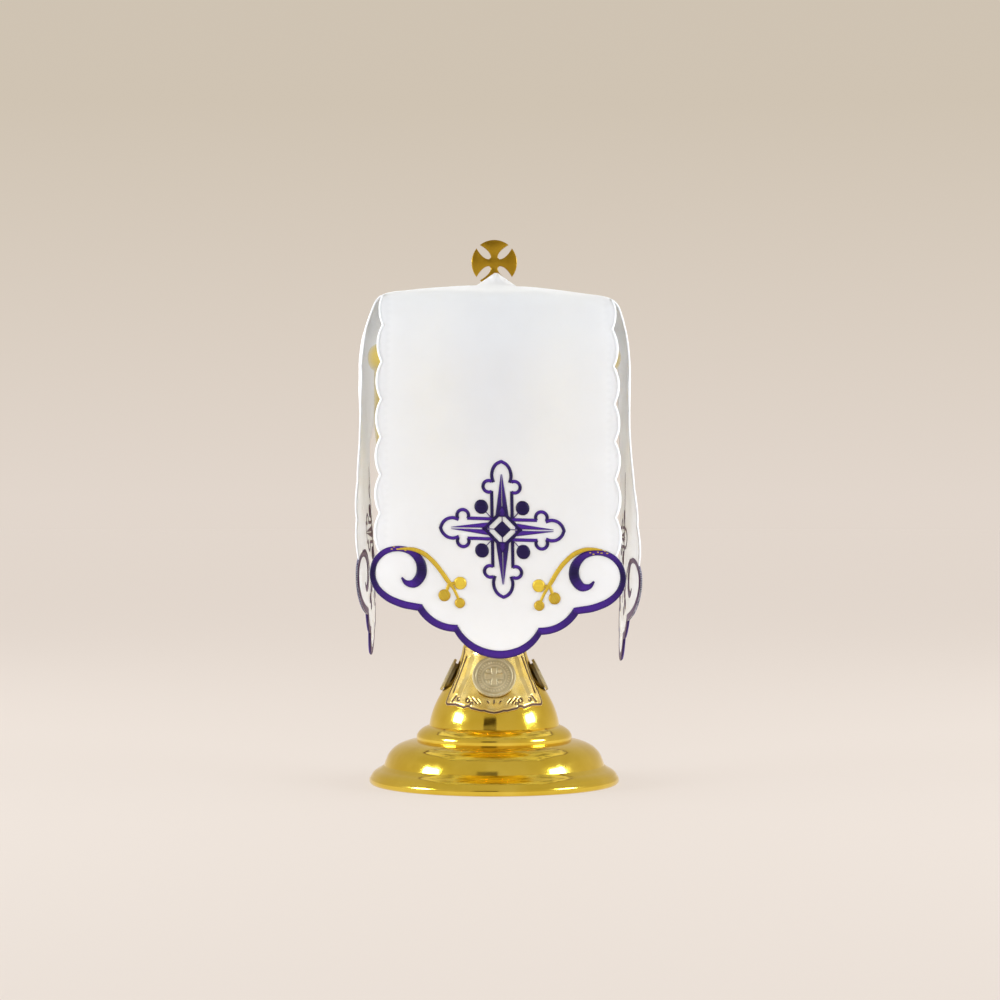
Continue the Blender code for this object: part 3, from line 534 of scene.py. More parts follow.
RUN, RUN_OUT, RUN_HEIGHT = section_table()
FLAP_LENGTH = RUN[-1]
RUN_TAIL = 30.0
RUN = np.append(RUN, RUN[-1] + RUN_TAIL)
RUN_OUT = np.append(RUN_OUT, RUN_OUT[-1])
RUN_HEIGHT = np.append(RUN_HEIGHT, RUN_HEIGHT[-1] - RUN_TAIL)


# Drape: from a point of the flat cloth to its place

SLIDE_START = 60.0
SLIDE_SPAN = 70.0
WIDEN_SPAN = 45.0


def fold_out(name, height, across):
    """How far a flap stands out from the middle section."""
    heights, *outs = np.array(FOLDS[name][::-1]).T
    left, middle, right = (smooth_read(heights, row, height) for row in outs)
    edge = np.where(across < 0.0, left, right)
    return middle + (edge - middle) * np.abs(across / FOLD_HALF_WIDTH) ** FOLD_POWER


def drape(flat):
    """Places of points of the flat cloth's middle layer, given as rows of (x, y)."""
    flat = np.atleast_2d(np.asarray(flat, dtype=float))
    x, y = flat.T
    near = np.abs(flat)
    slides = {name: FLAPS[name][1] for name in FLAPS}
    slide = np.where(flat > 0.0, (slides["right"], slides["back"]), (slides["left"], slides["front"]))
    run = near + slide * ease((near - SLIDE_START) / SLIDE_SPAN)
    out = np.interp(run, RUN, RUN_OUT)
    drops = SECTION[0][1] - np.interp(run, RUN, RUN_HEIGHT)
    drop = (drops ** CORNER_SHARPNESS).sum(axis=1) ** (1.0 / CORNER_SHARPNESS)
    height = SECTION[0][1] - drop
    free = ease((near - TOP_HALF) / WIDEN_SPAN)
    on_x = near[:, 0] > near[:, 1]
    sideways = np.column_stack([~on_x, on_x])
    wide = out + np.where(sideways, (near - out) * free[:, ::-1], 0.0)
    place = np.column_stack([np.sign(flat) * wide, height])

    for name, (degrees, _, shift, skew) in FLAPS.items():
        turn = math.radians(degrees)
        outward = np.array([math.sin(turn), -math.cos(turn)])
        aside = np.array([math.cos(turn), math.sin(turn)])
        reach = flat @ outward
        across = flat @ aside
        here = (reach > np.abs(across)) & (reach > 0.0)
        weight = np.where(here, ease((reach - TOP_HALF) / WIDEN_SPAN), 0.0)
        along = np.clip((reach - TOP_HALF) / (FLAP_LENGTH - TOP_HALF), 0.0, 1.2)
        push = fold_out(name, height, across) * here
        place[:, :2] += np.outer(push, outward) + np.outer(shift * along * weight, aside)
        place[:, 2] -= skew * across * np.exp(-((across / SKEW_HALF_WIDTH) ** 2)) * along

    lip = SLIT_HALF_WIDTH * np.clip(1.0 - (x / SLIT_HALF_LENGTH) ** 2, 0.0, 1.0)
    away = np.clip(np.abs(y) - lip, 0.0, None)
    tent = np.clip(1.0 - np.abs(x - LIP_CENTRE) / LIP_HALF_LENGTH, 0.0, 1.0)
    place[:, 2] += LIP_RISE * tent ** LIP_PEAK * np.exp(-((away / LIP_FADE) ** LIP_SOFTNESS))
    sag = np.clip((near - SAG_START) / (SAG_END - SAG_START), 0.0, 1.0).prod(axis=1)
    place[:, 2] -= CORNER_SAG * sag * (1.0 - ease((near.max(axis=1) - SAG_END) / SAG_FADE))
    place[:, 2] -= SHEET_TILT * place[:, 0]
    place[:, 0] += SHEET_SHIFT
    return place


def crease_rise(flat):
    """How far the soft creases lift the cloth out of its main folds."""
    rise = np.zeros(len(flat))
    for ax, ay, bx, by, half, height in CREASES:
        along = np.array([bx - ax, by - ay])
        share = (flat - (ax, ay)) @ along / (along @ along)
        nearest = np.array([ax, ay]) + np.outer(np.clip(share, 0.0, 1.0), along)
        away = np.linalg.norm(flat - nearest, axis=1)
        rise += height * np.exp(-((away / half) ** 2))
    return rise


def lifted(flat, lift):
    """Places of points of the flat cloth, each lifted along the cloth's outer normal."""
    flat = np.atleast_2d(np.asarray(flat, dtype=float))
    step_x = drape(flat + (NORMAL_REACH, 0.0)) - drape(flat - (NORMAL_REACH, 0.0))
    step_y = drape(flat + (0.0, NORMAL_REACH)) - drape(flat - (0.0, NORMAL_REACH))
    normal = np.cross(step_x, step_y)
    normal /= np.linalg.norm(normal, axis=1)[:, None]
    lift = np.reshape(lift, (-1,)) + crease_rise(flat)
    return drape(flat) + normal * lift[:, None]


def on_flap(name, points):
    """Turn rows of (u, v) on a flap into points of the flat cloth."""
    turn = math.radians(FLAPS[name][0])
    points = np.asarray(points)
    u = points[:, 0]
    out = FLAP_LENGTH - points[:, 1]
    x = u * math.cos(turn) + out * math.sin(turn)
    y = u * math.sin(turn) - out * math.cos(turn)
    return np.column_stack([x, y])


# Flat shapes

def ring(centre, radius, count):
    """A round outline."""
    return arc(centre, radius, 0.0, 360.0, count + 1)[:-1]


def arc(centre, radius, first, last, count=24):
    """Points of a round arc from the first to the last turn in degrees."""
    turns = np.radians(np.linspace(first, last, count))
    return np.column_stack([centre[0] + radius * np.cos(turns), centre[1] + radius * np.sin(turns)])


def mirrored(points):
    """The same points on the other side of the flap."""
    return np.asarray(points) * (-1.0, 1.0)


def turned(points, degrees):
    """Points turned about the origin."""
    turn = math.radians(degrees)
    spin = np.array([[math.cos(turn), math.sin(turn)], [-math.sin(turn), math.cos(turn)]])
    return np.asarray(points) @ spin


def arc_between(start, end, depth, count):
    """Points of a round arc from start to end that bulges to the right of the way."""
    start = np.array(start)
    end = np.array(end)
    half = np.linalg.norm(end - start) / 2.0
    radius = (half * half + depth * depth) / (2.0 * depth)
    along = (end - start) / (2.0 * half)
    right = np.array([along[1], -along[0]])
    centre = (start + end) / 2.0 - right * (radius - depth)
    spread = math.asin(min(1.0, half / radius))
    turns = np.linspace(-spread, spread, count)
    return centre + radius * (np.outer(np.sin(turns), along) + np.outer(np.cos(turns), right))


def inside(outline, points):
    """Which points lie inside an outline."""
    hit = np.zeros(len(points), dtype=bool)
    ends = np.roll(outline, -1, axis=0)
    for (ax, ay), (bx, by) in zip(outline, ends):
        if ay == by:
            continue
        crosses = (ay > points[:, 1]) != (by > points[:, 1])
        at = ax + (points[:, 1] - ay) * (bx - ax) / (by - ay)
        hit ^= crosses & (points[:, 0] < at)
    return hit


def flat_area(outline):
    """Area inside an outline."""
    x, y = np.asarray(outline).T
    return abs(np.dot(x, np.roll(y, -1)) - np.dot(y, np.roll(x, -1))) / 2.0


# Hem and side edges of a flap

def scroll_edge():
    """The outer edge of the scroll where it is the edge of the cloth, from the cusp upwards."""
    line = spaced_line(SCROLL, SCROLL_STEP)
    along = np.gradient(line[:, :2], axis=0)
    along /= np.linalg.norm(along, axis=1)[:, None]
    edge = line[:, :2] + np.column_stack([along[:, 1], -along[:, 0]]) * line[:, 2:3] / 2.0
    last = int(np.argmax(edge[:, 0])) + 1
    while edge[last, 0] > HEM_HALF_WIDTH + SCROLL_JOIN:
        last += 1
    first = int(np.argmax(edge[:, 0] > CUSP_1[0] + SCROLL_STEP / 2.0))
    return edge[first:last]


def centre_scallop(count=41):
    """The deep middle scallop of the hem, left to right, its lowest point at v = 0."""
    half, rise = CUSP_2
    return arc_between((-half, rise), (half, rise), rise, count)


def outer_scallop(count=17):
    """The shallow scallop between the two cusps on the right."""
    return arc_between(CUSP_2, CUSP_1, SCALLOP_1_DEPTH, count)


def side_edge():
    """The scalloped right edge of a flap, from the scroll up to the corner of the top."""
    top = FLAP_LENGTH - TOP_HALF
    step = np.arange(SCALLOPS * SCALLOP_STEPS)
    t = step / (SCALLOPS * SCALLOP_STEPS)
    rise = (step % SCALLOP_STEPS) / SCALLOP_STEPS
    u = HEM_HALF_WIDTH + (TOP_HALF - HEM_HALF_WIDTH) * t + SCALLOP_DEPTH * 4.0 * rise * (1.0 - rise)
    return np.column_stack([u, SIDE_MEETS_SCROLL + (top - SIDE_MEETS_SCROLL) * t])


def sheet_outline():
    """The whole edge of the flat cloth."""
    right = np.vstack([outer_scallop()[1:], scroll_edge(), side_edge()])
    edge = np.vstack([mirrored(right)[::-1], centre_scallop(), right])
    corner = np.array([(TOP_HALF, FLAP_LENGTH - TOP_HALF)])
    return np.vstack([on_flap(name, np.vstack([edge, corner])) for name in FLAPS])


def slit_outline():
    """The slit in the middle of the top, open like an eye."""
    turns = np.linspace(0.0, math.pi, 31)
    upper = np.column_stack([SLIT_HALF_LENGTH * np.cos(turns), SLIT_HALF_WIDTH * np.sin(turns) ** 2])
    return np.vstack([upper, upper[-2:0:-1] * (1.0, -1.0)])


def grid_points(outline, hole):
    """Staggered points inside the cloth, clear of its edges."""
    rows = np.arange(-FLAP_LENGTH, FLAP_LENGTH, SHEET_GRID * ROW_SHARE)
    columns = np.arange(-FLAP_LENGTH, FLAP_LENGTH, SHEET_GRID)
    x, y = np.meshgrid(columns, rows)
    x[1::2] += SHEET_GRID / 2.0
    points = np.column_stack([x.ravel(), y.ravel()])
    points = points[inside(outline, points) & ~inside(hole, points)]
    edges = np.vstack([outline, hole])
    tree = KDTree(len(edges))
    for i, place in enumerate(edges):
        tree.insert((*place, 0.0), i)
    tree.balance()
    away = np.array([tree.find((*p, 0.0))[2] for p in points])
    return points[away > EDGE_MARGIN]


def edge_band(flat):
    """From 0 to 1, how much a point of the flat cloth lies in the thinner band by a side edge."""
    u = np.minimum(np.abs(flat[:, 0]), np.abs(flat[:, 1]))
    out = np.maximum(np.abs(flat[:, 0]), np.abs(flat[:, 1]))
    share = np.clip((FLAP_LENGTH - out - SIDE_MEETS_SCROLL)
                    / (FLAP_LENGTH - TOP_HALF - SIDE_MEETS_SCROLL), 0.0, 1.0)
    edge = HEM_HALF_WIDTH + (TOP_HALF - HEM_HALF_WIDTH) * share
    deep = edge + SCALLOP_DEPTH * 0.5 - u
    below = ease((FLAP_LENGTH - out - SIDE_MEETS_SCROLL + 4.0) / 2.0)
    above = ease((out - TOP_HALF + 1.0) / 4.0)
    return ease((BAND_END - deep) / 0.5) * ease((deep - BAND_START + 1.4) / 0.5) * below * above


def make_cloth(satin):
    """The cloth as one closed sheet in its folds."""
    outline = sheet_outline()
    hole = slit_outline()
    places = [Vector(p) for p in np.vstack([outline, hole, grid_points(outline, hole)])]
    count = len(outline)
    edges = [(i, (i + 1) % count) for i in range(count)]
    edges += [(count + i, count + (i + 1) % len(hole)) for i in range(len(hole))]
    verts, _, faces, _, _, _ = delaunay_2d_cdt(places, edges, [], 0, 1e-4)
    flat = np.array([(v.x, v.y) for v in verts])
    faces = np.array(faces)
    middles = flat[faces].mean(axis=1)
    faces = faces[inside(outline, middles) & ~inside(hole, middles)]
    a, b, c = (flat[faces[:, k]] for k in range(3))
    wrong = (b[:, 0] - a[:, 0]) * (c[:, 1] - a[:, 1]) < (b[:, 1] - a[:, 1]) * (c[:, 0] - a[:, 0])
    faces[wrong] = faces[wrong][:, ::-1]
    layers = [lifted(flat, np.full(len(flat), lift)) for lift in (SHEET_THICK / 2.0, -SHEET_THICK / 2.0)]
    shift = len(flat)
    pairs = np.vstack([faces[:, [0, 1]], faces[:, [1, 2]], faces[:, [2, 0]]])
    known = set(map(tuple, pairs.tolist()))
    rims = sorted((p, q) for p, q in known if (q, p) not in known)
    all_faces = faces.tolist() + (faces[:, ::-1] + shift).tolist()
    all_faces += [(p + shift, q + shift, q, p) for p, q in rims]
    mesh = mesh_from("draped_cloth", np.vstack(layers), all_faces)
    both = np.vstack([flat, flat])
    set_values(mesh, "band", edge_band(both))
    corners = np.zeros(len(mesh.loops), dtype=np.int32)
    mesh.loops.foreach_get("vertex_index", corners)
    layer = mesh.uv_layers.new(name="flat_cloth")
    spread = both / (2.0 * FLAP_LENGTH + 2.0) + 0.5
    layer.data.foreach_set("uv", spread[corners].astype(np.float32).ravel())
    cloth = add_piece("draped_cloth", mesh, [satin], ["veil"], SMOOTH_DEGREES)
    return cloth, (flat_area(outline) - flat_area(hole)) * MM * MM


# Satin stitches

rng = np.random.default_rng(SEED)


def stitch_sheen(rows):
    """Painted sheen of each stitch: the ones that run up the flap are painted bright, those across are
    painted dark, standing in for the satin's sheen that follows the stitch direction.
    """
    way = rows[:, -1] - rows[:, 0]
    length = np.maximum(np.linalg.norm(way, axis=1), 1e-6)
    return 0.08 + 0.78 * (np.abs(way[:, 1]) / length) ** 1.7


def add_stretch(pile, flap, rows, sheen_and_tone=None, lift=0.0):
    """One satin-stitched stretch: rows is (count, across, 2) places in (u, v), a row for each
    ridge and each valley between two stitches."""
    count, across, _ = rows.shape
    t = np.linspace(-1.0, 1.0, across)
    dome = np.sqrt(np.clip(1.0 - t * t, 0.0, 1.0))
    ridge = np.where(np.arange(count) % 2 == 0, 1.0, VALLEY)
    width = np.linalg.norm(rows[:, -1] - rows[:, 0], axis=1)
    bulge = np.minimum(BULGE_LEAST + BULGE_PER_WIDTH * width, BULGE_MOST)
    rise = (bulge * ridge)[:, None] * dome[None, :]
    flat = on_flap(flap, rows.reshape(-1, 2))
    high = lifted(flat, (SEAT + lift + rise).ravel())
    low = lifted(flat, -(SEAT + UNDER_SHARE * rise).ravel())
    faces = sheet_faces(np.arange(count * across).reshape(count, across), count * across)
    side = np.zeros(len(faces))
    side[-(count - 1) * (across - 1):] = 1.0
    step = rows[min(count // 2 + 1, count - 1)] - rows[count // 2 - 1]
    way = rows[count // 2, -1] - rows[count // 2, 0]
    if way[0] * step[across // 2, 1] - way[1] * step[across // 2, 0] < 0.0:
        faces = faces[:, ::-1]
    # Painted sheen for each stitch, from its direction unless given, plus a random tone for each stitch,
    # minus painted shade in the valleys
    if sheen_and_tone is None:
        level = stitch_sheen(rows)
    else:
        level = np.interp(np.arange(count), (0, count - 1), np.broadcast_to(sheen_and_tone, 2))
    level = level + rng.normal(0.0, STITCH_JITTER, count) - VALLEY_SHADE * (ridge < 1.0)
    level = np.tile(np.repeat(np.clip(level, 0.0, 1.0), across), 2)
    faces = faces + sum(len(stretch[0]) for stretch in pile)
    pile.append((np.vstack([high, low]), faces, side, level, np.tile(np.abs(t), 2 * count)))


def ribbon_rows(line, across, pitch=STITCH_PITCH):
    """Rows of stitches across a strip along rows of (u, v, width)."""
    line = spaced_line(line, pitch / 2.0, read_straight)
    along = np.gradient(line[:, :2], axis=0)
    along /= np.maximum(np.linalg.norm(along, axis=1), 1e-6)[:, None]
    side = np.column_stack([-along[:, 1], along[:, 0]]) * line[:, 2:3] / 2.0
    t = np.linspace(-1.0, 1.0, across)
    return line[:, None, :2] + side[:, None, :] * t[None, :, None]


def strip(points, width):
    """Rows of (u, v, width) along points with one width."""
    points = np.asarray(points)
    return np.column_stack([points[:, :2], np.full(len(points), width)])


def extended(points, reach):
    """The same line, longer by a reach at both ends."""
    first = points[0] - points[1]
    last = points[-1] - points[-2]
    first = points[0] + first / np.linalg.norm(first) * reach
    last = points[-1] + last / np.linalg.norm(last) * reach
    return np.vstack([first, points, last])


def fill_rows(outline, degrees, across, pitch=STITCH_PITCH):
    """Rows of stitches that fill a plain outline, the stitches running at the given turn."""
    spun = turned(outline, degrees)
    low, high = spun[:, 1].min(), spun[:, 1].max()
    count = max(3, int(round((high - low) / (pitch / 2.0))))
    ends = np.roll(spun, -1, axis=0)
    rows = []
    t = np.linspace(0.0, 1.0, across)
    for k in range(count):
        y = low + (high - low) * (k + 0.5) / count
        hits = []
        for (ax, ay), (bx, by) in zip(spun, ends):
            if (ay > y) != (by > y):
                hits.append(ax + (y - ay) * (bx - ax) / (by - ay))
        if len(hits) >= 2:
            x = min(hits) + (max(hits) - min(hits)) * t
            rows.append(np.column_stack([x, np.full(across, y)]))
    rows = np.array(rows)
    return turned(rows.reshape(-1, 2), -degrees).reshape(rows.shape)


def pile_piece(name, pile, finishes, nodes):
    """Turn a pile of stretches into one piece."""
    verts, faces, sides, sheen_and_tone, edge = (np.concatenate(column) for column in zip(*pile))
    mesh = mesh_from(name, verts, faces.tolist())
    set_values(mesh, "sheen_and_tone", sheen_and_tone)
    set_values(mesh, "edge", edge)
    piece = add_piece(name, mesh, finishes, nodes)
    mesh.polygons.foreach_set("material_index", sides.astype(np.int32))
    return piece


def make_border(flap, purple, under):
    """The purple border: scrolls at the corners joined by the stitched hem."""
    pile = []
    scroll = spaced_line(SCROLL, SCROLL_STEP)
    outer = strip(extended(outer_scallop(), HEM_REACH), OUTER_HEM_WIDTH)
    outer[:, 1] += OUTER_HEM_WIDTH / 2.0 - HEM_TUCK
    middle = strip(extended(centre_scallop(), HEM_REACH), BORDER_WIDTH)
    level = np.clip(1.0 - (middle[:, 0] / CUSP_2[0]) ** 2, 0.0, 1.0)
    middle[:, 2] += (MIDDLE_HEM_WIDTH - BORDER_WIDTH) * level
    middle[:, 1] += middle[:, 2] / 2.0 - HEM_TUCK
    for line in (scroll, outer):
        for sign in (1.0, -1.0):
            add_stretch(pile, flap, ribbon_rows(line * (sign, 1.0, 1.0), 7))
    add_stretch(pile, flap, ribbon_rows(middle, 7), lift=0.05)
    return pile_piece("stitched_border_" + flap, pile, [purple, under],
                      ["border_" + flap])


def arm_lines(reach, knob_at, wide):
    """Lines that one arm's outline is stitched along, the arm pointing up."""
    side = np.array([(ARM_HALF_WIDTH, ARM_FOOT), (ARM_HALF_WIDTH, knob_at - KNOB_RADIUS + 0.7)])
    knob = arc((KNOB_OUT, knob_at), KNOB_RADIUS, -KNOB_TURN, KNOB_TURN, 36)
    foot = knob_at + LOBE_FOOT
    lobe = np.array([(half * wide, foot + (reach - foot) * share) for share, half in LOBE])
    bend = spaced_line(lobe, 0.5)
    whole = np.vstack([bend, mirrored(bend)[-2::-1]])
    return [side, mirrored(side), knob, mirrored(knob), whole]


def make_cross(flap, purple, under):
    """The embroidered cross, its star, heart and four dots."""
    pile = []

    def sew(rows, sheen_and_tone=None, lift=0.0):
        lean = CROSS_LEAN * rows[..., 1]
        rows = rows + (CROSS_U, CROSS_V)
        rows[..., 0] -= lean
        add_stretch(pile, flap, rows, sheen_and_tone, lift)

    def line(points, width, sheen_and_tone=None):
        sew(ribbon_rows(strip(points, width), 5), sheen_and_tone)

    def fill(outline, degrees, sheen_and_tone=None, lift=0.0, across=7):
        sew(fill_rows(np.asarray(outline), degrees, across), sheen_and_tone, lift)

    for k, degrees in enumerate(QUARTERS):
        reach, knob_at, length, half, split, wide = ARMS[k % 2]
        for points in arm_lines(reach, knob_at, wide):
            line(turned(points, degrees), LINE_WIDTH)
        upright = k % 2 == 0
        for sign in (-1.0, 1.0):
            ray = np.array([(split, RAY_FOOT), (half, RAY_FOOT), (half * 0.9, RAY_FOOT + 3.0),
                            (split + RAY_TIP, length), (split, length)]) * (sign, 1.0)
            fill(turned(ray, degrees), -degrees, RAY_SHEEN if upright else None)
        if upright:
            heart = np.array([(-RAY_HEART_HALF, RAY_FOOT), (RAY_HEART_HALF, RAY_FOOT),
                              (RAY_HEART_HALF, RAY_FOOT + 2.6), (0.0, RAY_HEART_TOP),
                              (-RAY_HEART_HALF, RAY_FOOT + 2.6)])
            fill(turned(heart, degrees), 90.0, 0.6, 0.1)
    for sx in (-1.0, 1.0):
        for sy in (-1.0, 1.0):
            dot = np.array([sx * DOT_PLACE[0], sy * DOT_PLACE[1]])
            root = np.array([sx * DIAMOND_HEART, sy * DIAMOND_HEART])
            line(np.array([root, dot]), DOT_STALK, 0.4)
            fill(ring(dot, DOT_RADIUS, 48), 0.0)
    for degrees in QUARTERS:
        side = np.array([(0.0, DIAMOND), (0.0, DIAMOND_RING), (DIAMOND_RING, 0.0), (DIAMOND, 0.0)])
        fill(turned(side, degrees), -45.0 - degrees, 0.12, 0.3)
        spoke = turned(np.array([(0.0, DIAMOND_HEART - 0.4), (0.0, DIAMOND_RING + 0.4)]), degrees)
        line(spoke, RING_LINE, 0.45)
    fill(ring((0.0, 0.0), DIAMOND_HEART, 4), 0.0, 0.08, 0.1, 9)
    return pile_piece("stitched_cross_" + flap, pile, [purple, under],
                      ["cross_" + flap])


def make_sprig(flap, side, gold, under):
    """A gold sprig: a stem that starts over the border, two twigs, three berries, loose stitches."""
    pile = []
    sign = 1.0 if side == "right" else -1.0
    shift = np.array([SPRIG_SHIFT, 0.0])
    stem = spaced_line(STEM, 0.7)
    if side == "left":
        stem[:, 1] -= LEFT_STEM_DROP * ease((stem[:, 0] - DROP_SPAN[0]) / DROP_SPAN[1])
    over = ease((stem[:, 0] - CLIMB_SPAN[0]) / CLIMB_SPAN[1])
    rows = ribbon_rows(stem * (sign, 1.0, 1.0), 5)
    lifts = np.interp(np.linspace(0.0, 1.0, len(rows)), np.linspace(0.0, 1.0, len(stem)), over)
    add_stretch(pile, flap, rows + shift, 0.55, BULGE_MOST * CLIMB * lifts[:, None])
    for a, b, c, d in TWIGS:
        line = strip([(a * sign, b), (c * sign, d)], TWIG_WIDTH)
        add_stretch(pile, flap, ribbon_rows(line, 5) + shift, 0.5)
    for u, v, radius, degrees, sheen_and_tone in BERRIES:
        berry = fill_rows(ring((u * sign, v), radius, 40), degrees, 7)
        add_stretch(pile, flap, berry + shift, sheen_and_tone, 0.1)
    for u, v, length in SPECKS:
        line = strip([(u * sign - length / 2.0, v), (u * sign + length / 2.0, v)], SPECK_WIDTH)
        add_stretch(pile, flap, ribbon_rows(line, 5) + shift, 0.8, BULGE_MOST * SPECK_CLIMB)
    name = flap + "_" + side
    return pile_piece("stitched_sprig_" + name, pile, [gold, under], ["sprig_" + name])


def make_edging(flap, white):
    """White satin-stitched edging along the scalloped sides of a flap."""
    pile = []
    line = strip(side_edge() + (-EDGING_WIDTH * EDGING_IN, 0.0), EDGING_WIDTH)
    for sign in (-1.0, 1.0):
        rows = ribbon_rows(line * (sign, 1.0, 1.0), 5, EDGING_PITCH)
        add_stretch(pile, flap, rows, 0.6)
    return pile_piece("scalloped_edging_" + flap, pile, [white, white], [])


# Ciborium

def turned_mesh(name, stretches, steps):
    """A solid of revolution about the z axis from smooth stretches of (height, radius)."""
    profile = []
    for stretch in stretches:
        rows = np.array(stretch)[:, ::-1]
        fine = spaced_line(rows, PROFILE_STEP) if len(rows) > 2 else rows
        profile += fine.tolist() if not profile else fine.tolist()[1:]
    profile = np.array(profile)
    turns = np.arange(steps) * 2.0 * math.pi / steps
    out = profile[1:-1, 0:1]
    height = np.repeat(profile[1:-1, 1:2], steps, axis=1)
    rings = np.stack([out * np.cos(turns), out * np.sin(turns), height], axis=-1)
    return mesh_from(name, *closed_rings(rings, (0.0, 0.0, profile[0, 1]), (0.0, 0.0, profile[-1, 1])))


def bell_line():
    """The bell's profile as fine rows of (height, radius)."""
    rows = spaced_line(np.array(FOOT[5])[:, ::-1], BELL_STEP)
    return rows[:, 1], rows[:, 0]


BELL_HEIGHT, BELL_RADIUS = bell_line()


def bell_slope():
    """How far the bell's side leans in from upright, over the panels' height."""
    low, high = PANEL_BOTTOM, PANEL_TOP
    shrink = np.interp(low, BELL_HEIGHT, BELL_RADIUS) - np.interp(high, BELL_HEIGHT, BELL_RADIUS)
    return math.atan2(shrink, high - low)


def near_line(points, a, b):
    """Distance of points from a straight line between a and b."""
    a = np.array(a)
    b = np.array(b)
    along = b - a
    share = np.clip((points - a) @ along / max(along @ along, 1e-9), 0.0, 1.0)
    return np.linalg.norm(points - a - np.outer(share, along), axis=1)


def panel_lines():
    """Engraved lines of a panel: rows of (share, height, share, height, half width)."""
    lines = list(PANEL_LINES)
    for share, height, radius, first, last in PANEL_CURLS:
        points = arc((0.0, 0.0), radius, first, last, 10)
        points = points / (PANEL_HALF_WIDTH, 1.0) + (share, height)
        lines += [(*p, *q, CURL_HALF_WIDTH) for p, q in zip(points[:-1], points[1:])]
    return [(sign * a, b, sign * c, d, half) for a, b, c, d, half in lines for sign in (1.0, -1.0)]


def panel_scale(height):
    """Half the width of a panel at a height, along the bell."""
    return PANEL_HALF_WIDTH * np.interp(height, BELL_HEIGHT, BELL_RADIUS) / PANEL_AT_RADIUS


def make_panel(side, finish):
    """A raised panel that follows the bell, with an ornate lower edge and engraved lines."""
    share = np.linspace(-1.0, 1.0, PANEL_STEPS + 1)
    up = np.linspace(0.0, 1.0, PANEL_ROWS + 1)
    lower = np.interp(np.abs(share), *np.array(PANEL_EDGE).T)
    height = lower[None, :] + (PANEL_TOP - lower)[None, :] * up[:, None]
    level = (height - PANEL_BOTTOM) / (PANEL_TOP - PANEL_BOTTOM)
    half = PANEL_HALF_ANGLE + (PANEL_HALF_ANGLE_TOP - PANEL_HALF_ANGLE) * np.clip(level, 0.0, 1.0)
    turn = np.radians(PANEL_TURNS[side] + share[None, :] * half)
    radius = np.interp(height, BELL_HEIGHT, BELL_RADIUS)
    scale = panel_scale(height)
    points = np.stack([share[None, :] * scale, height], axis=-1).reshape(-1, 2)
    depth = np.zeros(len(points))
    for a, b, c, d, half_width in panel_lines():
        away = near_line(points, (a * panel_scale(b), b), (c * panel_scale(d), d))
        strength = BAR_DEPTH if half_width > 2.0 * GROOVE_HALF_WIDTH else 1.0
        depth = np.maximum(depth, strength * (1.0 - ease((away - half_width) / LINE_SOFTNESS)))
    depth = depth.reshape(height.shape)
    near = np.minimum((1.0 - np.abs(share)) * scale, (height - lower) * LOWER_RIM_SHARE)
    rim = 1.0 - ease((np.abs(near - RIM_LINE_IN) - GROOVE_HALF_WIDTH) / RIM_SOFTNESS)
    depth = np.maximum(depth, rim)
    slope = bell_slope()

    def shell(lift):
        out = radius + lift * math.cos(slope)
        rise = height + lift * math.sin(slope)
        return np.stack([out * np.sin(turn), -out * np.cos(turn), rise], axis=-1).reshape(-1, 3)

    edge = 1.0 - np.sqrt(np.clip(near / ROUND_OFF, 0.0, 1.0))
    thick = PANEL_GAP + PANEL_THICK - GROOVE_DEPTH * depth - ROUND_OFF_DEPTH * edge
    verts = np.vstack([shell(thick), shell(np.full(radius.shape, PANEL_GAP))])
    faces = sheet_faces(np.arange(radius.size).reshape(radius.shape), radius.size)
    mesh = mesh_from("engraved_panel_" + side, verts, faces.tolist())
    set_values(mesh, "groove", np.concatenate([depth.ravel(), 0.0 * depth.ravel()]))
    return add_piece("engraved_panel_" + side, mesh, [finish], ["panel_" + side], 50.0)


def relief(x, y):
    """Height of a medallion's generic relief over its field, x and y as shares of the radius: a
    plain cross between four dots, in a ring of beads."""
    r = np.hypot(x, y)
    turn = np.arctan2(y, x)
    ax, ay = np.abs(x), np.abs(y)
    post, beam = (1.0 - ease(np.maximum(p - 0.07 - 0.1 * q, q - 0.4) / 0.05)
                  for p, q in ((ax, ay), (ay, ax)))
    dots = 1.0 - ease((np.hypot(ax - 0.27, ay - 0.27) - 0.06) / 0.05)
    circle = 0.6 * (1.0 - ease((np.abs(r - 0.56) - 0.02) / 0.03))
    beads = (1.0 - ease((np.abs(r - 0.7) - 0.03) / 0.04)) * (0.5 + 0.5 * np.cos(turn * 36.0))
    return np.maximum.reduce([post, beam, dots, circle, beads * 0.8])


